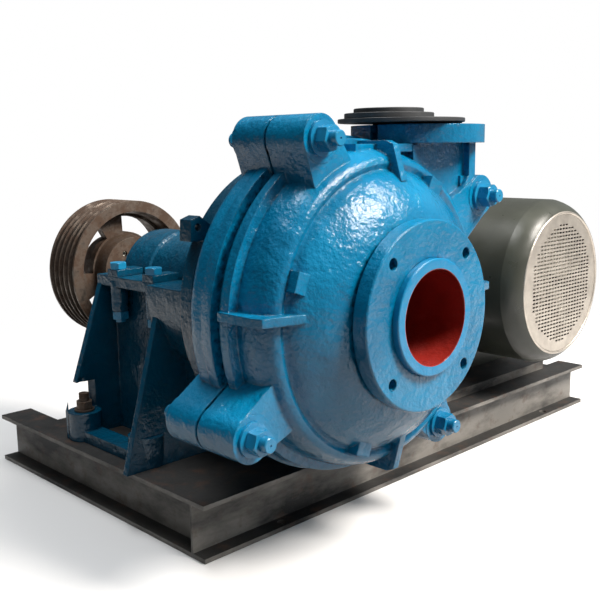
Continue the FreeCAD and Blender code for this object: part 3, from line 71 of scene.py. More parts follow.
def new_material(name):
    """An empty material, and the place of each point on the object in metres."""
    material = bpy.data.materials.new(name)
    material.use_nodes = True
    material.node_tree.nodes.clear()
    return material, add(material, "ShaderNodeTexCoord", output="Object")


def close_material(material, inputs):
    """Gives a material its shader and its output."""
    surface = add(material, "ShaderNodeBsdfPrincipled", inputs)
    add(material, "ShaderNodeOutputMaterial", {"Surface": surface})
    return material


PER_MM = 1000.0
COLOUR_MIX = {"data_type": "RGBA"}
PRODUCT = {"operation": "MULTIPLY"}
CORNER_SAMPLES = {"samples": 4}


def enamel_on_casting(name, colour, dark, light, peel_mm=6.0, relief_mm=1.5):
    """Thick gloss enamel brushed over a sand casting: the mould's pebbled skin shows through as
    orange peel that breaks up every highlight, corners are soft, and painted shade darkens the corners in
    specks."""
    material, place = new_material(name)

    # The brush leaves slow drifts between two blues, with lighter patches where the coat is thick
    drift = add(material, "ShaderNodeTexNoise", {"Vector": place, "Scale": PER_MM / 140, "Detail": 2.0})
    share = add(material, "ShaderNodeMapRange", {"Value": drift, "From Min": 0.35, "From Max": 0.65})
    body = add(material, "ShaderNodeMix", {0: share, 6: dark, 7: colour}, COLOUR_MIX, 2)
    patch = add(material, "ShaderNodeTexNoise", {"Vector": place, "Scale": PER_MM / 28, "Detail": 4.0,
                                                 "Roughness": 0.6})
    share = add(material, "ShaderNodeMapRange", {"Value": patch, "From Min": 0.55, "From Max": 0.8,
                                                 "To Max": 0.18})
    body = add(material, "ShaderNodeMix", {0: share, 6: body, 7: light}, COLOUR_MIX, 2)

    # Painted shade in specks where surfaces meet: occlusion darkens the paint towards a deep blue
    shelter = add(material, "ShaderNodeAmbientOcclusion", {"Distance": 30 / PER_MM}, CORNER_SAMPLES, "AO")
    corner_shade = add(material, "ShaderNodeMapRange", {"Value": shelter, "From Min": 0.35, "From Max": 0.85,
                                                 "To Min": 1.0, "To Max": 0.0})
    grain = add(material, "ShaderNodeTexNoise", {"Vector": place, "Scale": PER_MM / 9, "Detail": 3.0})
    speck = add(material, "ShaderNodeMapRange", {"Value": grain, "From Min": 0.4, "From Max": 0.7})
    share = add(material, "ShaderNodeMath", {0: corner_shade, 1: speck}, PRODUCT)
    body = add(material, "ShaderNodeMix", {0: share, 6: body, 7: srgb("#0E2A3A")}, COLOUR_MIX, 2)

    # A trace of pale dust on what faces the sky, which is also a painted sheen on the top faces
    normal = add(material, "ShaderNodeNewGeometry", output="Normal")
    height = add(material, "ShaderNodeSeparateXYZ", {"Vector": normal}, output="Z")
    skyward = add(material, "ShaderNodeMapRange", {"Value": height, "From Min": 0.35, "From Max": 0.95})
    dust_and_sheen_patches = add(material, "ShaderNodeTexNoise", {"Vector": place, "Scale": PER_MM / 60, "Detail": 5.0,
                                                   "Roughness": 0.65})
    dust_and_sheen = add(material, "ShaderNodeMapRange", {"Value": dust_and_sheen_patches, "From Min": 0.45, "From Max": 0.75,
                                                "To Max": 0.04})
    share = add(material, "ShaderNodeMath", {0: skyward, 1: dust_and_sheen}, PRODUCT)
    body = add(material, "ShaderNodeMix", {0: share, 6: body, 7: srgb("#8FA6AE")}, COLOUR_MIX, 2)

    # Rounded corners, then the wavy skin of the casting, then the fine peel of the coat
    corner = add(material, "ShaderNodeBevel", {"Radius": 3.5 / PER_MM}, CORNER_SAMPLES)
    skin = add(material, "ShaderNodeTexNoise", {"Vector": place, "Scale": PER_MM / (peel_mm * 4.5),
                                                "Detail": 2.0})
    peel = add(material, "ShaderNodeTexNoise", {"Vector": place, "Scale": PER_MM / peel_mm, "Detail": 3.0,
                                                "Roughness": 0.55})
    relief = add(material, "ShaderNodeBump", {"Height": skin, "Distance": relief_mm * 2.2 / PER_MM,
                                              "Strength": 1.0, "Normal": corner})
    relief = add(material, "ShaderNodeBump", {"Height": peel, "Distance": relief_mm / PER_MM, "Strength": 1.0,
                                              "Normal": relief})
    wear = add(material, "ShaderNodeTexNoise", {"Vector": place, "Scale": PER_MM / 45, "Detail": 4.0,
                                                "Roughness": 0.6})
    gloss = add(material, "ShaderNodeMapRange", {"Value": wear, "From Min": 0.35, "From Max": 0.7,
                                                 "To Min": 0.12, "To Max": 0.26})
    return close_material(material, {"Base Color": body, "Roughness": gloss, "Normal": relief, "IOR": 1.52,
                                     "Specular IOR Level": 0.34})


def rolled_steel(name, primer, mill_scale_and_sheen, rust):
    """Hot-rolled section under worn dark primer: the flat tops stay dark and the upright webs turn
    blue-grey, partly mill scale where the primer is rubbed and partly painted sheen, with brown rust in patches
    and a fine pale scuffing."""
    material, place = new_material(name)
    along = add(material, "ShaderNodeMapping", {"Vector": place, "Scale": (0.35, 0.35, 1.0)})
    worn = add(material, "ShaderNodeTexNoise", {"Vector": along, "Scale": PER_MM / 90, "Detail": 6.0,
                                                "Roughness": 0.62})
    # Upright faces are painted lighter where the primer is rubbed: mill scale, and painted sheen on the lit
    # webs
    normal = add(material, "ShaderNodeNewGeometry", output="Normal")
    height = add(material, "ShaderNodeSeparateXYZ", {"Vector": normal}, output="Z")
    flatness = add(material, "ShaderNodeMath", {0: height}, {"operation": "ABSOLUTE"})
    upright = add(material, "ShaderNodeMapRange", {"Value": flatness, "From Min": 0.2, "From Max": 0.5,
                                                   "To Min": 1.0, "To Max": 0.12})
    rubbed = add(material, "ShaderNodeMapRange", {"Value": worn, "From Min": 0.38, "From Max": 0.6})
    share = add(material, "ShaderNodeMath", {0: upright, 1: rubbed}, PRODUCT)
    body = add(material, "ShaderNodeMix", {0: share, 6: primer, 7: mill_scale_and_sheen}, COLOUR_MIX, 2)

    stain = add(material, "ShaderNodeTexNoise", {"Vector": place, "Scale": PER_MM / 38, "Detail": 6.0,
                                                 "Roughness": 0.7})
    share = add(material, "ShaderNodeMapRange", {"Value": stain, "From Min": 0.54, "From Max": 0.72,
                                                 "To Max": 0.75})
    body = add(material, "ShaderNodeMix", {0: share, 6: body, 7: rust}, COLOUR_MIX, 2)
    scuff = add(material, "ShaderNodeTexNoise", {"Vector": place, "Scale": PER_MM / 3, "Detail": 4.0,
                                                 "Roughness": 0.6})
    share = add(material, "ShaderNodeMapRange", {"Value": scuff, "From Min": 0.55, "From Max": 0.8,
                                                 "To Max": 0.35})
    body = add(material, "ShaderNodeMix", {0: share, 6: body, 7: srgb("#6B6560")}, COLOUR_MIX, 2)

    corner = add(material, "ShaderNodeBevel", {"Radius": 1.5 / PER_MM}, CORNER_SAMPLES)
    pitting = add(material, "ShaderNodeTexNoise", {"Vector": place, "Scale": PER_MM / 2.2, "Detail": 3.0,
                                                   "Roughness": 0.6})
    relief = add(material, "ShaderNodeBump", {"Height": pitting, "Distance": 0.12 / PER_MM, "Strength": 1.0,
                                              "Normal": corner})
    relief = add(material, "ShaderNodeBump", {"Height": stain, "Distance": 0.3 / PER_MM, "Strength": 1.0,
                                              "Normal": relief})
    rough = add(material, "ShaderNodeMapRange", {"Value": worn, "From Min": 0.4, "From Max": 0.7,
                                                 "To Min": 0.62, "To Max": 0.42})
    return close_material(material, {"Base Color": body, "Roughness": rough, "Normal": relief,
                                     "Specular IOR Level": 0.45})


def smooth_enamel(name, colour, dark, rough=0.32, relief_mm=0.06, edge_mm=1.5):
    """Sprayed enamel on sheet or machined metal: an even satin skin, a little uneven in gloss."""
    material, place = new_material(name)
    drift = add(material, "ShaderNodeTexNoise", {"Vector": place, "Scale": PER_MM / 120, "Detail": 4.0,
                                                 "Roughness": 0.6})
    share = add(material, "ShaderNodeMapRange", {"Value": drift, "From Min": 0.35, "From Max": 0.7})
    body = add(material, "ShaderNodeMix", {0: share, 6: dark, 7: colour}, COLOUR_MIX, 2)
    corner = add(material, "ShaderNodeBevel", {"Radius": edge_mm / PER_MM}, CORNER_SAMPLES)
    spray = add(material, "ShaderNodeTexNoise", {"Vector": place, "Scale": PER_MM / 2.4, "Detail": 2.0})
    relief = add(material, "ShaderNodeBump", {"Height": spray, "Distance": relief_mm / PER_MM, "Strength": 1.0,
                                              "Normal": corner})
    wear = add(material, "ShaderNodeTexNoise", {"Vector": place, "Scale": PER_MM / 50, "Detail": 5.0,
                                                "Roughness": 0.6})
    gloss = add(material, "ShaderNodeMapRange", {"Value": wear, "From Min": 0.35, "From Max": 0.7,
                                                 "To Min": rough * 0.8, "To Max": rough * 1.35})
    return close_material(material, {"Base Color": body, "Roughness": gloss, "Normal": relief})


def bare_metal(name, colour, dark, rough=0.3, grain_mm=0.6, edge_mm=0.8, stretch=None,
               relief_mm=0.03):
    """Bare metal left by a tool: small changes of tone, and marks, in one direction where stretched,
    that are too fine to tell apart and only spread the highlight."""
    material, place = new_material(name)
    cloud = add(material, "ShaderNodeTexNoise", {"Vector": place, "Scale": PER_MM / 35, "Detail": 5.0,
                                                 "Roughness": 0.6})
    share = add(material, "ShaderNodeMapRange", {"Value": cloud, "From Min": 0.35, "From Max": 0.7})
    body = add(material, "ShaderNodeMix", {0: share, 6: dark, 7: colour}, COLOUR_MIX, 2)
    if stretch is not None:
        place = add(material, "ShaderNodeMapping", {"Vector": place, "Scale": stretch})
    mark = add(material, "ShaderNodeTexNoise", {"Vector": place, "Scale": PER_MM / grain_mm, "Detail": 3.0,
                                                "Roughness": 0.6})
    corner = add(material, "ShaderNodeBevel", {"Radius": edge_mm / PER_MM}, CORNER_SAMPLES)
    relief = add(material, "ShaderNodeBump", {"Height": mark, "Distance": relief_mm / PER_MM, "Strength": 1.0,
                                              "Normal": corner})
    gloss = add(material, "ShaderNodeMapRange", {"Value": mark, "From Min": 0.3, "From Max": 0.7,
                                                 "To Min": rough * 0.8, "To Max": rough * 1.3})
    return close_material(material, {"Base Color": body, "Roughness": gloss, "Normal": relief, "Metallic": 1.0})


def rusted_iron(name, metal, brown, dark, share_bare):
    """Machined grey iron left in the weather: brown bloom over turned metal, and painted shade that turns the
    corners near black.
    """
    material, place = new_material(name)
    bloom = add(material, "ShaderNodeTexNoise", {"Vector": place, "Scale": PER_MM / 30, "Detail": 7.0,
                                                 "Roughness": 0.68})
    cover = add(material, "ShaderNodeMapRange", {"Value": bloom, "From Min": share_bare - 0.12,
                                                 "From Max": share_bare + 0.1})
    body = add(material, "ShaderNodeMix", {0: cover, 6: metal, 7: brown}, COLOUR_MIX, 2)
    spot = add(material, "ShaderNodeTexNoise", {"Vector": place, "Scale": PER_MM / 7, "Detail": 5.0,
                                                "Roughness": 0.7})
    share = add(material, "ShaderNodeMapRange", {"Value": spot, "From Min": 0.55, "From Max": 0.75,
                                                 "To Max": 0.7})
    body = add(material, "ShaderNodeMix", {0: share, 6: body, 7: dark}, COLOUR_MIX, 2)
    # Painted shade: occlusion darkens the corners towards near black
    shelter = add(material, "ShaderNodeAmbientOcclusion", {"Distance": 20 / PER_MM}, CORNER_SAMPLES, "AO")
    corner_shade = add(material, "ShaderNodeMapRange", {"Value": shelter, "From Min": 0.3, "From Max": 0.8,
                                                 "To Min": 0.85, "To Max": 0.0})
    body = add(material, "ShaderNodeMix", {0: corner_shade, 6: body, 7: dark}, COLOUR_MIX, 2)
    corner = add(material, "ShaderNodeBevel", {"Radius": 1.2 / PER_MM}, CORNER_SAMPLES)
    pitting = add(material, "ShaderNodeTexNoise", {"Vector": place, "Scale": PER_MM / 1.6, "Detail": 4.0,
                                                   "Roughness": 0.65})
    relief = add(material, "ShaderNodeBump", {"Height": pitting, "Distance": 0.12 / PER_MM, "Strength": 1.0,
                                              "Normal": corner})
    rough = add(material, "ShaderNodeMapRange", {"Value": cover, "To Min": 0.38, "To Max": 0.78})
    shine = add(material, "ShaderNodeMapRange", {"Value": cover, "To Min": 0.85, "To Max": 0.1})
    return close_material(material, {"Base Color": body, "Normal": relief, "Roughness": rough,
                                     "Metallic": shine})


def dull_solid(name, colour, dark, rough, blob_mm, relief_mm):
    """Rubber, plastic, fibre, varnish or a rough coat: little shine, and an even tooth."""
    material, place = new_material(name)
    drift = add(material, "ShaderNodeTexNoise", {"Vector": place, "Scale": PER_MM / 40, "Detail": 4.0})
    share = add(material, "ShaderNodeMapRange", {"Value": drift, "From Min": 0.35, "From Max": 0.7})
    body = add(material, "ShaderNodeMix", {0: share, 6: dark, 7: colour}, COLOUR_MIX, 2)
    corner = add(material, "ShaderNodeBevel", {"Radius": 0.8 / PER_MM}, CORNER_SAMPLES)
    tooth = add(material, "ShaderNodeTexNoise", {"Vector": place, "Scale": PER_MM / blob_mm, "Detail": 3.0,
                                                 "Roughness": 0.6})
    relief = add(material, "ShaderNodeBump", {"Height": tooth, "Distance": relief_mm / PER_MM, "Strength": 1.0,
                                              "Normal": corner})
    return close_material(material, {"Base Color": body, "Normal": relief, "Roughness": rough})


BLUE_CASTING = enamel_on_casting("gloss_blue_enamel_on_cast_iron",
                                 srgb("#007AA6"), srgb("#00648C"), srgb("#0C92BA"))
# The frame's enamel is the casting's blue painted darker: painted shade, as the pedestal stands in shade
BLUE_FRAME_IN_PAINTED_SHADE = enamel_on_casting("gloss_blue_enamel_on_cast_frame_darkened_as_painted_shade",
                               srgb("#024A66"), srgb("#023C54"), srgb("#0A6888"), 6.5)
RED_THROAT = enamel_on_casting("red_oxide_enamel_on_cast_iron",
                               srgb("#962A24"), srgb("#74190F"), srgb("#B04034"), 6.0, 0.9)
BLUE_FASTENER = smooth_enamel("blue_enamel_on_plated_steel", srgb("#1F8CB8"), srgb("#12749E"), 0.26, 0.08, 1.0)
OLIVE_ENAMEL = smooth_enamel("olive_grey_enamel_on_sheet_steel", srgb("#42443B"), srgb("#373932"), 0.34)
BASE_STEEL = rolled_steel("worn_primer_on_rolled_steel", srgb("#121416"), srgb("#8B8781"), srgb("#5A4134"))
GUARD_STEEL = bare_metal("satin_plated_guard_sheet", srgb("#C9C1B6"), srgb("#B0A89E"), 0.42, 1.2)
TURNED_STEEL = bare_metal("turned_shaft_steel", srgb("#B9B6B0"), srgb("#8F8C88"), 0.25, 0.5)
ZINC_STEEL = bare_metal("zinc_plated_steel", srgb("#C4C4BE"), srgb("#9A9A94"), 0.34, 0.8)
BRONZE = bare_metal("machined_gunmetal_bronze", srgb("#C69A5C"), srgb("#A0763C"), 0.3, 0.5)
LAMINATION = bare_metal("stacked_electrical_steel", srgb("#7C7E82"), srgb("#55575B"), 0.5, 0.7, 0.5,
                        (0.1, 8, 0.1), 0.08)
RUSTED_PULLEY = rusted_iron("rusted_machined_grey_iron",
                            srgb("#756B62"), srgb("#4E3B2D"), srgb("#1C140F"), 0.46)
WHITE_IRON = rusted_iron("as_cast_chrome_white_iron", srgb("#8C8C8C"), srgb("#6A6660"), srgb("#3A3836"), 0.6)
BLANK_IRON = dull_solid("dark_coated_cast_iron", srgb("#3A3C3E"), srgb("#26282A"), 0.6, 3.0, 0.15)
NITRILE = dull_solid("moulded_nitrile_rubber", srgb("#262626"), srgb("#1A1A1A"), 0.75, 1.2, 0.06)
PACKING = dull_solid("greased_braided_packing", srgb("#8A7E66"), srgb("#5C5242"), 0.9, 2.5, 0.5)
WINDING = dull_solid("varnished_copper_winding", srgb("#8C4A22"), srgb("#5E2E14"), 0.35, 1.6, 0.5)
FAN_POLYMER = dull_solid("moulded_pale_fan_polymer", srgb("#F4F0E6"), srgb("#E4DED2"), 0.45, 2.0, 0.04)

# The proud ring face round the throat carries the casing's blue, and only the bore inside it is red
THROAT_BORE_R = 0.0768
PAINT_EDGE = 0.0006
throat_line = [(low + high) / 2 for low, high in zip(*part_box("throatbush"))]
place = add(RED_THROAT, "ShaderNodeTexCoord", output="Object")
flattened = add(RED_THROAT, "ShaderNodeVectorMath", {0: place, 1: (1, 0, 1)}, PRODUCT)
reach = add(RED_THROAT, "ShaderNodeVectorMath", {0: flattened, 1: (throat_line[0], 0, throat_line[2])},
            {"operation": "DISTANCE"}, "Value")
outside = add(RED_THROAT, "ShaderNodeMapRange", {"Value": reach, "From Min": THROAT_BORE_R,
                                                 "From Max": THROAT_BORE_R + PAINT_EDGE})
shader = RED_THROAT.node_tree.nodes["Principled BSDF"]
red = shader.inputs["Base Color"].links[0].from_socket
two_coats = add(RED_THROAT, "ShaderNodeMix", {0: outside, 6: red, 7: srgb("#0F80B0")}, COLOUR_MIX, 2)
RED_THROAT.node_tree.links.new(two_coats, shader.inputs["Base Color"])

SLOT_FINISH = {
    "base_steel": BASE_STEEL, "pump_blue": BLUE_CASTING, "frame_blue": BLUE_FRAME_IN_PAINTED_SHADE, "bolt_blue": BLUE_FASTENER,
    "zinc_steel": ZINC_STEEL, "machined_steel": TURNED_STEEL, "white_iron": WHITE_IRON, "red_liner": RED_THROAT,
    "dark_rubber": NITRILE, "blank_iron": BLANK_IRON, "rusty_iron": RUSTED_PULLEY, "packing_fibre": PACKING,
    "gland_bronze": BRONZE, "motor_olive": OLIVE_ENAMEL, "guard_silver": GUARD_STEEL,
    "laminations": LAMINATION, "copper_winding": WINDING, "fan_plastic": FAN_POLYMER,
}
for part in frame["record"]["subparts"]:
    for face_set in NODES[part["node"]].material_slots:
        face_set.material = SLOT_FINISH[part["material_slot"]]
# The long casing bolts were brushed over with their nuts
for face_set in NODES["casing_bolts"].material_slots:
    face_set.material = BLUE_FASTENER

# ---------------------------------------------------------------- ways of making a piece
# Sizes in the next sections are millimetres from the middle of the suction flange's face: x to the
# right, y back along the shaft and z up.
MM = 0.001
FLANGE_FACE_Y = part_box("cover_plate")[0][1]
SHAFT_X, SHAFT_Z = throat_line[0], throat_line[2]
SMOOTH_BELOW = math.radians(35)
Y_LINE = (math.pi / 2, 0, 0)
X_LINE = (0, math.pi / 2, 0)


def spot(x, y, z):
    return Vector((SHAFT_X + x * MM, FLANGE_FACE_Y + y * MM, SHAFT_Z + z * MM))


def eased(points, steps=4):
    """A smooth run of points through the given ones."""
    run = []
    for i in range(len(points) - 1):
        before, start, end = points[max(i - 1, 0)], points[i], points[i + 1]
        after = points[min(i + 2, len(points) - 1)]
        for k in range(steps):
            t = k / steps
            run.append([0.5 * (2 * b + (c - a) * t + (2 * a - 5 * b + 4 * c - d) * t * t
                               + (3 * b - a - 3 * c + d) * t ** 3)
                        for a, b, c, d in zip(before, start, end, after)])
    return run + [list(points[-1])]


def outward(piece):
    """Merges a new piece's doubles and turns every face outwards."""
    bpy.context.view_layer.objects.active = piece
    bpy.ops.object.mode_set(mode="EDIT")
    bpy.ops.mesh.select_all(action="SELECT")
    bpy.ops.mesh.remove_doubles(threshold=0.00001)
    bpy.ops.mesh.normals_make_consistent(inside=False)
    bpy.ops.object.mode_set(mode="OBJECT")
    return piece


def turned(outline, centre_z, steps=144):
    """A ring turned about a line along y from a closed outline of (y, radius) points."""
    bpy.ops.object.select_all(action="DESELECT")
    bpy.ops.mesh.primitive_circle_add(vertices=len(outline), radius=1.0, fill_type="NOTHING")
    piece = bpy.context.object
    for point, (along, reach) in zip(piece.data.vertices, outline):
        point.co = (reach * MM, along * MM, 0.0)
    turn = piece.modifiers.new("turn", "SCREW")
    turn.axis = "Y"
    turn.steps = steps
    turn.render_steps = steps
    turn.use_merge_vertices = True
    bpy.ops.object.modifier_apply(modifier=turn.name)
    piece.location = spot(0.0, 0.0, centre_z)
    bpy.ops.object.transform_apply(location=True, rotation=True, scale=True)
    return outward(piece)


def slab(corners, thickness):
    """A flat plate from its corners, made thick along a vector."""
    bpy.ops.object.select_all(action="DESELECT")
    bpy.ops.mesh.primitive_circle_add(vertices=len(corners), radius=1.0, fill_type="NGON")
    piece = bpy.context.object
    for point, corner in zip(piece.data.vertices, corners):
        point.co = corner
    bpy.ops.object.mode_set(mode="EDIT")
    bpy.ops.mesh.select_all(action="SELECT")
    bpy.ops.mesh.extrude_region_move(TRANSFORM_OT_translate={"value": tuple(thickness)})
    bpy.ops.object.mode_set(mode="OBJECT")
    return outward(piece)


def slab_y(corners, y0, y1):
    """A plate from its (x, z) corners, between two places along the shaft."""
    return slab([spot(x, y0, z) for x, z in corners], (0, (y1 - y0) * MM, 0))


def plate(x0, x1, y0, y1, z0, z1):
    return slab_y([(x0, z0), (x1, z0), (x1, z1), (x0, z1)], y0, y1)


def bar(start, radius, length, line=Y_LINE, vertices=56):
    """A round bar that runs from a spot along y, or along x."""
    x, y, z = start
    middle = spot(x + length / 2, y, z) if line == X_LINE else spot(x, y + length / 2, z)
    bpy.ops.object.select_all(action="DESELECT")
    bpy.ops.mesh.primitive_cylinder_add(vertices=vertices, radius=radius * MM, depth=length * MM,
                                        location=middle, rotation=line)
    bpy.ops.object.transform_apply(location=True, rotation=True, scale=True)
    return bpy.context.object


def combine(base, tools, operation):
    """Welds tools to a base, or cuts them out of it."""
    for tool in tools:
        bpy.ops.object.select_all(action="DESELECT")
        base.select_set(True)
        bpy.context.view_layer.objects.active = base
        work = base.modifiers.new("work", "BOOLEAN")
        work.operation = operation
        work.solver = "EXACT"
        work.object = tool
        bpy.ops.object.modifier_apply(modifier=work.name)
        bpy.data.objects.remove(tool)


def settle(piece, name, body, finish, smooth_below=None):
    """Names a finished piece and gives it its place in its mesh, its shading, its finish, its slot
    and the body that it rides on."""
    piece.name = name
    bpy.ops.object.select_all(action="DESELECT")
    piece.select_set(True)
    bpy.context.view_layer.objects.active = piece
    if smooth_below is not None:
        bpy.ops.object.shade_smooth_by_angle(angle=smooth_below)
    bpy.ops.object.transform_apply(location=True, rotation=True, scale=True)
    piece.data.materials.clear()
    piece.data.materials.append(finish)
    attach(piece, body)
    return piece


# ---------------------------------------------------------------- casing halves
# The two halves are modelled as cast: a bowl with a narrow valley before a rounded crest, a step
# joint between two rims, flared bolt bosses, flat quarter lugs and a boxed discharge neck. Welds stop
# about a millimetre short of the joint face, so that no two tools share a face.
CASING_CENTRE_Z = -3.0
COVER_END_Y = 176.0
COVER_RIM_R = 280.0
CAVITY_R = 240.0
SPIGOT_R = 270.0
THROAT_SEAT_R = 93.1
HUB_R = 118.0
FLANGE_R = 152.5
FLANGE_HOLE_PCD_R = 130.0
FLANGE_HOLE_R = 9.5

BOLT_SPOTS = ((-139.0, 276.0), (-287.0, -152.0), (163.0, -232.0), (281.0, 173.0))
BOSS_R = 37.0
BOSS_FRONT_Y = 100.0
BOSS_MEET_Y = 184.0
BOSS_BACK_Y = 260.0
BOSS_HALF_GAP = 2.5
WEB_FOOT_R = 240.0
WEB_STEP = 1.0

NECK_X0 = 112.0
NECK_X1 = 264.0
NECK_FRONT_Y = 117.0
NECK_TOP_Z = 271.0
FLANGE_X = 198.0
FLANGE_Y = 184.0
TOP_FLANGE_R = 120.0
TOP_FLANGE_Z = 268.0
TOP_FLANGE_T = 32.0
FLANGE_ARC_STEPS = 64


def boss_web(x, z, y0, y1):
    """The web of a bolt boss, a little wider where it meets the casing."""
    reach = math.hypot(x, z)
    ux, uz = x / reach, z / reach
    half, wide = BOSS_R - 0.6, BOSS_R + 9.0
    corners = [(x - uz * half, z + ux * half), (ux * WEB_FOOT_R - uz * wide, uz * WEB_FOOT_R + ux * wide),
               (ux * WEB_FOOT_R + uz * wide, uz * WEB_FOOT_R - ux * wide), (x + uz * half, z - ux * half)]
    return slab_y(corners, y0, y1)


def half_flange(y_edge, is_front):
    """One half of the split discharge flange, up to a straight edge."""
    start = math.asin((y_edge - FLANGE_Y) / TOP_FLANGE_R)
    sweep = -(math.pi + 2 * start) if is_front else math.pi - 2 * start
    corners = []
    for i in range(FLANGE_ARC_STEPS + 1):
        angle = start + sweep * i / FLANGE_ARC_STEPS
        corners.append(spot(FLANGE_X + TOP_FLANGE_R * math.cos(angle),
                            FLANGE_Y + TOP_FLANGE_R * math.sin(angle), TOP_FLANGE_Z))
    return slab(corners, (0, 0, TOP_FLANGE_T * MM))


def quarter_lug(side, outer, low, high):
    """A flat lug that runs from the bowl over the rim."""
    end = COVER_END_Y - 1.1
    outline = [(209, 65), (outer - 6, 83), (outer, 97), (outer, end), (244, end), (209, 85)]
    depth = (high - low) * MM
    if side in ("left", "right"):
        sign = -1 if side == "left" else 1
        return slab([spot(sign * reach, y, low) for reach, y in outline], (0, 0, depth))
    sign = -1 if side == "bottom" else 1
    return slab([spot(low, y, sign * reach) for reach, y in outline], (depth, 0, 0))


def pry_pad(angle):
    """A block on the crest for a bar to push on."""
    turn = math.radians(angle)
    out = Vector((math.cos(turn), 0, math.sin(turn)))
    across = Vector((-math.sin(turn), 0, math.cos(turn)))
    foot = spot(0, 69, CASING_CENTRE_Z)
    corners = [foot + out * (reach * MM) + across * (wide * MM)
               for reach, wide in ((190, -16), (236, -16), (236, 16), (190, 16))]
    return slab(corners, (0, 34 * MM, 0))


bowl = eased([(27, HUB_R), (32, 151), (44, 181), (62, 206), (76, 221), (87, 228)])
valley = (90.5, 231.5)
crest = eased([(87, 240), (92, 250), (108, 259), (127, 263.5), (156, 264)])
cover = turned([(27, 100)] + bowl + [valley] + crest + [
    (158, COVER_RIM_R), (COVER_END_Y, COVER_RIM_R), (COVER_END_Y, CAVITY_R), (104, CAVITY_R), (104, 136),
    (60, 100),
], CASING_CENTRE_Z)
suction_hub = turned([
    (0, THROAT_SEAT_R), (0, FLANGE_R - 2), (2, FLANGE_R), (26, FLANGE_R), (27.5, FLANGE_R - 1.5), (27.5, HUB_R),
    (58, HUB_R), (58, THROAT_SEAT_R),
], 0.0)
spigot = turned([(170, CAVITY_R + 2), (170, SPIGOT_R), (191, SPIGOT_R), (191, CAVITY_R + 2)], CASING_CENTRE_Z)
boss_end = BOSS_MEET_Y - BOSS_HALF_GAP
bosses = [bar((x, BOSS_FRONT_Y, z), BOSS_R, boss_end - BOSS_FRONT_Y) for x, z in BOLT_SPOTS]
webs = [boss_web(x, z, BOSS_FRONT_Y + WEB_STEP, boss_end) for x, z in BOLT_SPOTS]
pads = [pry_pad(angle) for angle in (161.0, 250.0, 63.0)]
lugs = [quarter_lug("left", 285, 12, 26), quarter_lug("right", 295, 0, 14),
        quarter_lug("top", 273, 6, 20), quarter_lug("bottom", 282, 12, 26)]
arch = [plate(-30, 108, 134, 147, 195, 265), plate(-43, 123, 118, 145, 254, 267.5),
        plate(101, 120, 116.5, 161, 190, 266)]
combine(cover, [suction_hub, spigot] + bosses + webs + pads + lugs + arch, "UNION")

# The boxed neck carries a bent rib on its right, half of the flange, and the upper bolt's lug plate
neck = plate(NECK_X0, NECK_X1, NECK_FRONT_Y, 175.2, 110, NECK_TOP_Z)
rib = slab_y([(247, 272.5), (266, 272.5), (266, 203), (224, 144), (204, 153), (247, 210)], 104, 173.4)
lug_plate = plate(233, 311, 112.5, 174.3, 136.5, 209.5)
half_round = bar((232, 140.6, 173), 28.3, 52, X_LINE)
combine(neck, [rib, half_flange(175.7, True), lug_plate, half_round], "UNION")

flange_holes = []
for angle in (45, 135, 225, 315):
    turn = math.radians(angle)
    centre = (FLANGE_HOLE_PCD_R * math.cos(turn), -2, FLANGE_HOLE_PCD_R * math.sin(turn))
    flange_holes.append(bar(centre, FLANGE_HOLE_R, 32, vertices=32))
drift_slots = [bar((69, 120, 246), 7, 40, vertices=32), plate(-246, -236, 107, 117, 0, 40)]
combine(cover, flange_holes + drift_slots, "DIFFERENCE")
combine(cover, [neck], "UNION")
settle(cover, "cast_cover_half", "base", BLUE_CASTING, SMOOTH_BELOW)
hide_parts("cover_plate")

FRAME_START_Y = 192.0
FRAME_RIM_R = 286.0
ring_front = (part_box("pump_frame")[0][1] - FLANGE_FACE_Y) / MM
shoulder = eased([(211, FRAME_RIM_R), (216, 283.5), (228, 283), (242, 281), (254, 273), (262, 258)])
back_half = turned([(FRAME_START_Y, CAVITY_R), (FRAME_START_Y, FRAME_RIM_R)] + shoulder
                   + [(262, 112), (248, 112), (248, CAVITY_R)], CASING_CENTRE_Z)
boss_start = BOSS_MEET_Y + BOSS_HALF_GAP
ring_seat = turned([(260, 190), (260, 236), (ring_front, 236), (ring_front, 190)], 0.0)
bosses = [bar((x, boss_start, z), BOSS_R, BOSS_BACK_Y - boss_start) for x, z in BOLT_SPOTS]
webs = [boss_web(x, z, boss_start, BOSS_BACK_Y - WEB_STEP) for x, z in BOLT_SPOTS]
back_neck = plate(NECK_X0, NECK_X1, FRAME_START_Y + 0.7, 251, 60, NECK_TOP_Z)
combine(back_half, [ring_seat] + bosses + webs + [back_neck, half_flange(FRAME_START_Y + 0.3, False)], "UNION")
settle(back_half, "cast_frame_half", "base", BLUE_CASTING, SMOOTH_BELOW)
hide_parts("frame_plate")

# ---------------------------------------------------------------- pedestal front wall
# The cast wall under the cradle leans forward and widens down to the feet
wall_corners = [(-158, 494, -2), (158, 494, -2), (280, 446, -305), (-280, 446, -305)]
wall = slab([spot(*corner) for corner in wall_corners], (0, 14 * MM, 0))
# The wall takes the darkened frame blue, which is painted shade
settle(wall, "leaning_front_wall", "base", BLUE_FRAME_IN_PAINTED_SHADE)

# ---------------------------------------------------------------- motor guard sheet
SLOT_LENGTH = 0.0105
SLOT_WIDTH = 0.0042
SLOT_PITCH = 0.0130
ROW_PITCH = 0.0082
HOLED_R = 0.134
ROLLED_RIM_R = 0.0033

low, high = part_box("fan_guard")
guard_centre = [(a + b) / 2 for a, b in zip(low, high)]
guard_r = (high[0] - low[0]) / 2
guard_t = high[1] - low[1]


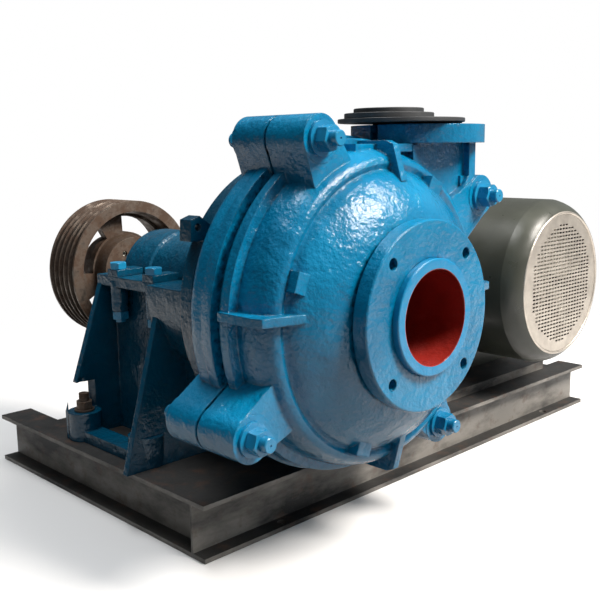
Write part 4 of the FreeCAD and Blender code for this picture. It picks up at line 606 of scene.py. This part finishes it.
def row_of_punches(row):
    """Punches for one row of slots, as long as the round field of slots lets it be."""
    rise = row * ROW_PITCH
    each_side = int((math.sqrt(HOLED_R ** 2 - rise ** 2) - SLOT_LENGTH / 2) / SLOT_PITCH)
    bpy.ops.object.select_all(action="DESELECT")
    bpy.ops.mesh.primitive_cylinder_add(vertices=12, radius=SLOT_WIDTH / 2, depth=guard_t * 4, rotation=Y_LINE)
    punch = bpy.context.object
    bpy.ops.object.transform_apply(location=False, rotation=True, scale=False)
    for point in punch.data.vertices:
        point.co.x += math.copysign((SLOT_LENGTH - SLOT_WIDTH) / 2, point.co.x)
    punch.location = (guard_centre[0] - each_side * SLOT_PITCH, guard_centre[1], guard_centre[2] + rise)
    repeat = punch.modifiers.new("slots_in_a_row", "ARRAY")
    repeat.count = 2 * each_side + 1
    repeat.use_relative_offset = False
    repeat.use_constant_offset = True
    repeat.constant_offset_displace = (SLOT_PITCH, 0, 0)
    bpy.ops.object.modifier_apply(modifier=repeat.name)
    return punch


row_count = int(HOLED_R / ROW_PITCH)
rows = [row_of_punches(row) for row in range(-row_count, row_count + 1)]
bpy.ops.object.select_all(action="DESELECT")
for punch in rows:
    punch.select_set(True)
bpy.context.view_layer.objects.active = rows[0]
bpy.ops.object.join()
punches = bpy.context.object

bpy.ops.object.select_all(action="DESELECT")
bpy.ops.mesh.primitive_cylinder_add(vertices=128, radius=guard_r, depth=guard_t, location=guard_centre,
                                    rotation=Y_LINE)
guard = bpy.context.object
combine(guard, [punches], "DIFFERENCE")
settle(guard, "perforated_fan_guard", "motor", GUARD_STEEL)
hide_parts("fan_guard")

bpy.ops.object.select_all(action="DESELECT")
bpy.ops.mesh.primitive_torus_add(major_radius=guard_r + ROLLED_RIM_R, minor_radius=ROLLED_RIM_R,
                                 major_segments=128, minor_segments=16, rotation=Y_LINE, location=guard_centre)
rim = bpy.context.object
bpy.ops.object.shade_smooth()
settle(rim, "rolled_guard_rim", "motor", GUARD_STEEL)

# ---------------------------------------------------------------- cooling fan behind the guard
BLADE_COUNT = 5
FIRST_BLADE = 0.5
FAN_HUB_R = 0.036
BLADE_LEAD = 0.028
BLADE_T = 0.003
BLADE_TWIST = Vector((0, 0.030, 0))
# Each edge of a blade, as (reach, width to its side) from the hub to the tip
LEADING_EDGE = ((0.030, -0.012), (0.100, -0.040), (0.136, -0.034))
TRAILING_EDGE = ((0.136, 0.040), (0.100, 0.040), (0.030, 0.012))

low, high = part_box("cooling_fan")
fan_x, fan_z = (low[0] + high[0]) / 2, guard_centre[2]
bpy.ops.object.select_all(action="DESELECT")
bpy.ops.mesh.primitive_cylinder_add(vertices=48, radius=FAN_HUB_R, depth=high[1] - low[1], rotation=Y_LINE,
                                    location=(fan_x, (low[1] + high[1]) / 2, fan_z))
bpy.ops.object.transform_apply(location=True, rotation=True, scale=True)
fan = bpy.context.object
blades = []
for i in range(BLADE_COUNT):
    turn = 2 * math.pi * i / BLADE_COUNT + FIRST_BLADE
    out = Vector((math.cos(turn), 0, math.sin(turn)))
    across = Vector((-math.sin(turn), 0, math.cos(turn)))
    middle = Vector((fan_x, low[1] - BLADE_LEAD, fan_z))
    front = [middle + out * reach + across * side for reach, side in LEADING_EDGE]
    rear = [middle + out * reach + across * side + BLADE_TWIST for reach, side in TRAILING_EDGE]
    blades.append(slab(front + rear, (0, BLADE_T, 0)))
combine(fan, blades, "UNION")
settle(fan, "broad_bladed_fan", "motor_rotor", FAN_POLYMER, SMOOTH_BELOW)
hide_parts("cooling_fan")

# ---------------------------------------------------------------- floor
# White far out and to the eye alone, pale with a shadow near the object, and dim to bounced light
bpy.ops.object.select_all(action="DESELECT")
bpy.ops.mesh.primitive_plane_add(size=60, location=(0, 0, -0.0005))
floor = bpy.context.object
floor.name = "floor"
pale, place = new_material("pale_studio_floor")
bounce = add(pale, "ShaderNodeLightPath", output="Is Diffuse Ray")
floor_colour = add(pale, "ShaderNodeMix", {0: bounce, 6: srgb("#EDEDED"), 7: srgb("#5A5A5A")}, COLOUR_MIX, 2)
ground = add(pale, "ShaderNodeBsdfPrincipled", {"Base Color": floor_colour, "Roughness": 0.9})
away = add(pale, "ShaderNodeVectorMath", {0: place}, {"operation": "LENGTH"}, "Value")
far = add(pale, "ShaderNodeMapRange", {"Value": away, "From Min": 0.7, "From Max": 1.9})
seen = add(pale, "ShaderNodeLightPath", output="Is Camera Ray")
share = add(pale, "ShaderNodeMath", {0: far, 1: seen}, PRODUCT)
glow = add(pale, "ShaderNodeEmission", {"Color": srgb("#FFFFFF"), "Strength": 1.0})
mixed = add(pale, "ShaderNodeMixShader", {0: share, 1: ground, 2: glow})
add(pale, "ShaderNodeOutputMaterial", {"Surface": mixed})
floor.data.materials.append(pale)

# ---------------------------------------------------------------- lights
# A soft room that is brighter above and in front, on the suction side, and white to the eye
BRIGHT_SIDE = (0.40, -0.55, 0.73)
world = bpy.data.worlds.new("soft_studio")
bpy.context.scene.world = world
world.use_nodes = True
world.node_tree.nodes.clear()
toward = add(world, "ShaderNodeTexCoord", output="Generated")
facing = add(world, "ShaderNodeVectorMath", {0: toward, 1: BRIGHT_SIDE}, {"operation": "DOT_PRODUCT"}, "Value")
level = add(world, "ShaderNodeMapRange", {"Value": facing, "From Min": -0.15, "From Max": 0.95,
                                          "To Min": 0.05, "To Max": 0.7})
room = add(world, "ShaderNodeBackground", {"Color": srgb("#E9EEF2"), "Strength": level})
white = add(world, "ShaderNodeBackground", {"Color": srgb("#FFFFFF"), "Strength": 1.0})
seen = add(world, "ShaderNodeLightPath", output="Is Camera Ray")
sky = add(world, "ShaderNodeMixShader", {0: seen, 1: room, 2: white})
add(world, "ShaderNodeOutputWorld", {"Surface": sky})


def softbox(name, place, aim, size, power, colour="#FFFFFF"):
    """A rectangular area lamp that points at a spot."""
    lamp = bpy.data.lights.new(name, "AREA")
    lamp.shape = "RECTANGLE"
    lamp.size, lamp.size_y = size
    lamp.energy = power
    lamp.color = srgb(colour)[:3]
    holder = bpy.data.objects.new(name, lamp)
    bpy.context.scene.collection.objects.link(holder)
    holder.location = place
    holder.rotation_euler = (Vector(place) - Vector(aim)).to_track_quat("Z", "Y").to_euler()


softbox("key_window", (1.0, -2.7, 3.3), (0, 0, 0.35), (1.3, 1.3), 310, "#FFF8F0")
softbox("roof_light", (-0.6, 0.4, 3.4), (0, 0, 0.3), (1.6, 0.8), 60)

# ---------------------------------------------------------------- camera
CAMERA_PLACE = (-1.39579, -1.27296, 0.66725)
HEADING = math.radians(-44.4452)
DOWN_TILT = math.radians(9.9952)
ROLL = math.radians(-0.7162)
lens = bpy.data.cameras.new("camera")
lens.sensor_width = 36.0
lens.lens = 51.74
lens.clip_end = 100
camera = bpy.data.objects.new("camera", lens)
bpy.context.scene.collection.objects.link(camera)
turn = Matrix.Rotation(HEADING, 4, "Z") @ Matrix.Rotation(math.pi / 2 - DOWN_TILT, 4, "X")
camera.matrix_world = Matrix.Translation(CAMERA_PLACE) @ turn @ Matrix.Rotation(ROLL, 4, "Z")
bpy.context.scene.camera = camera
bpy.context.scene.view_settings.view_transform = "Standard"
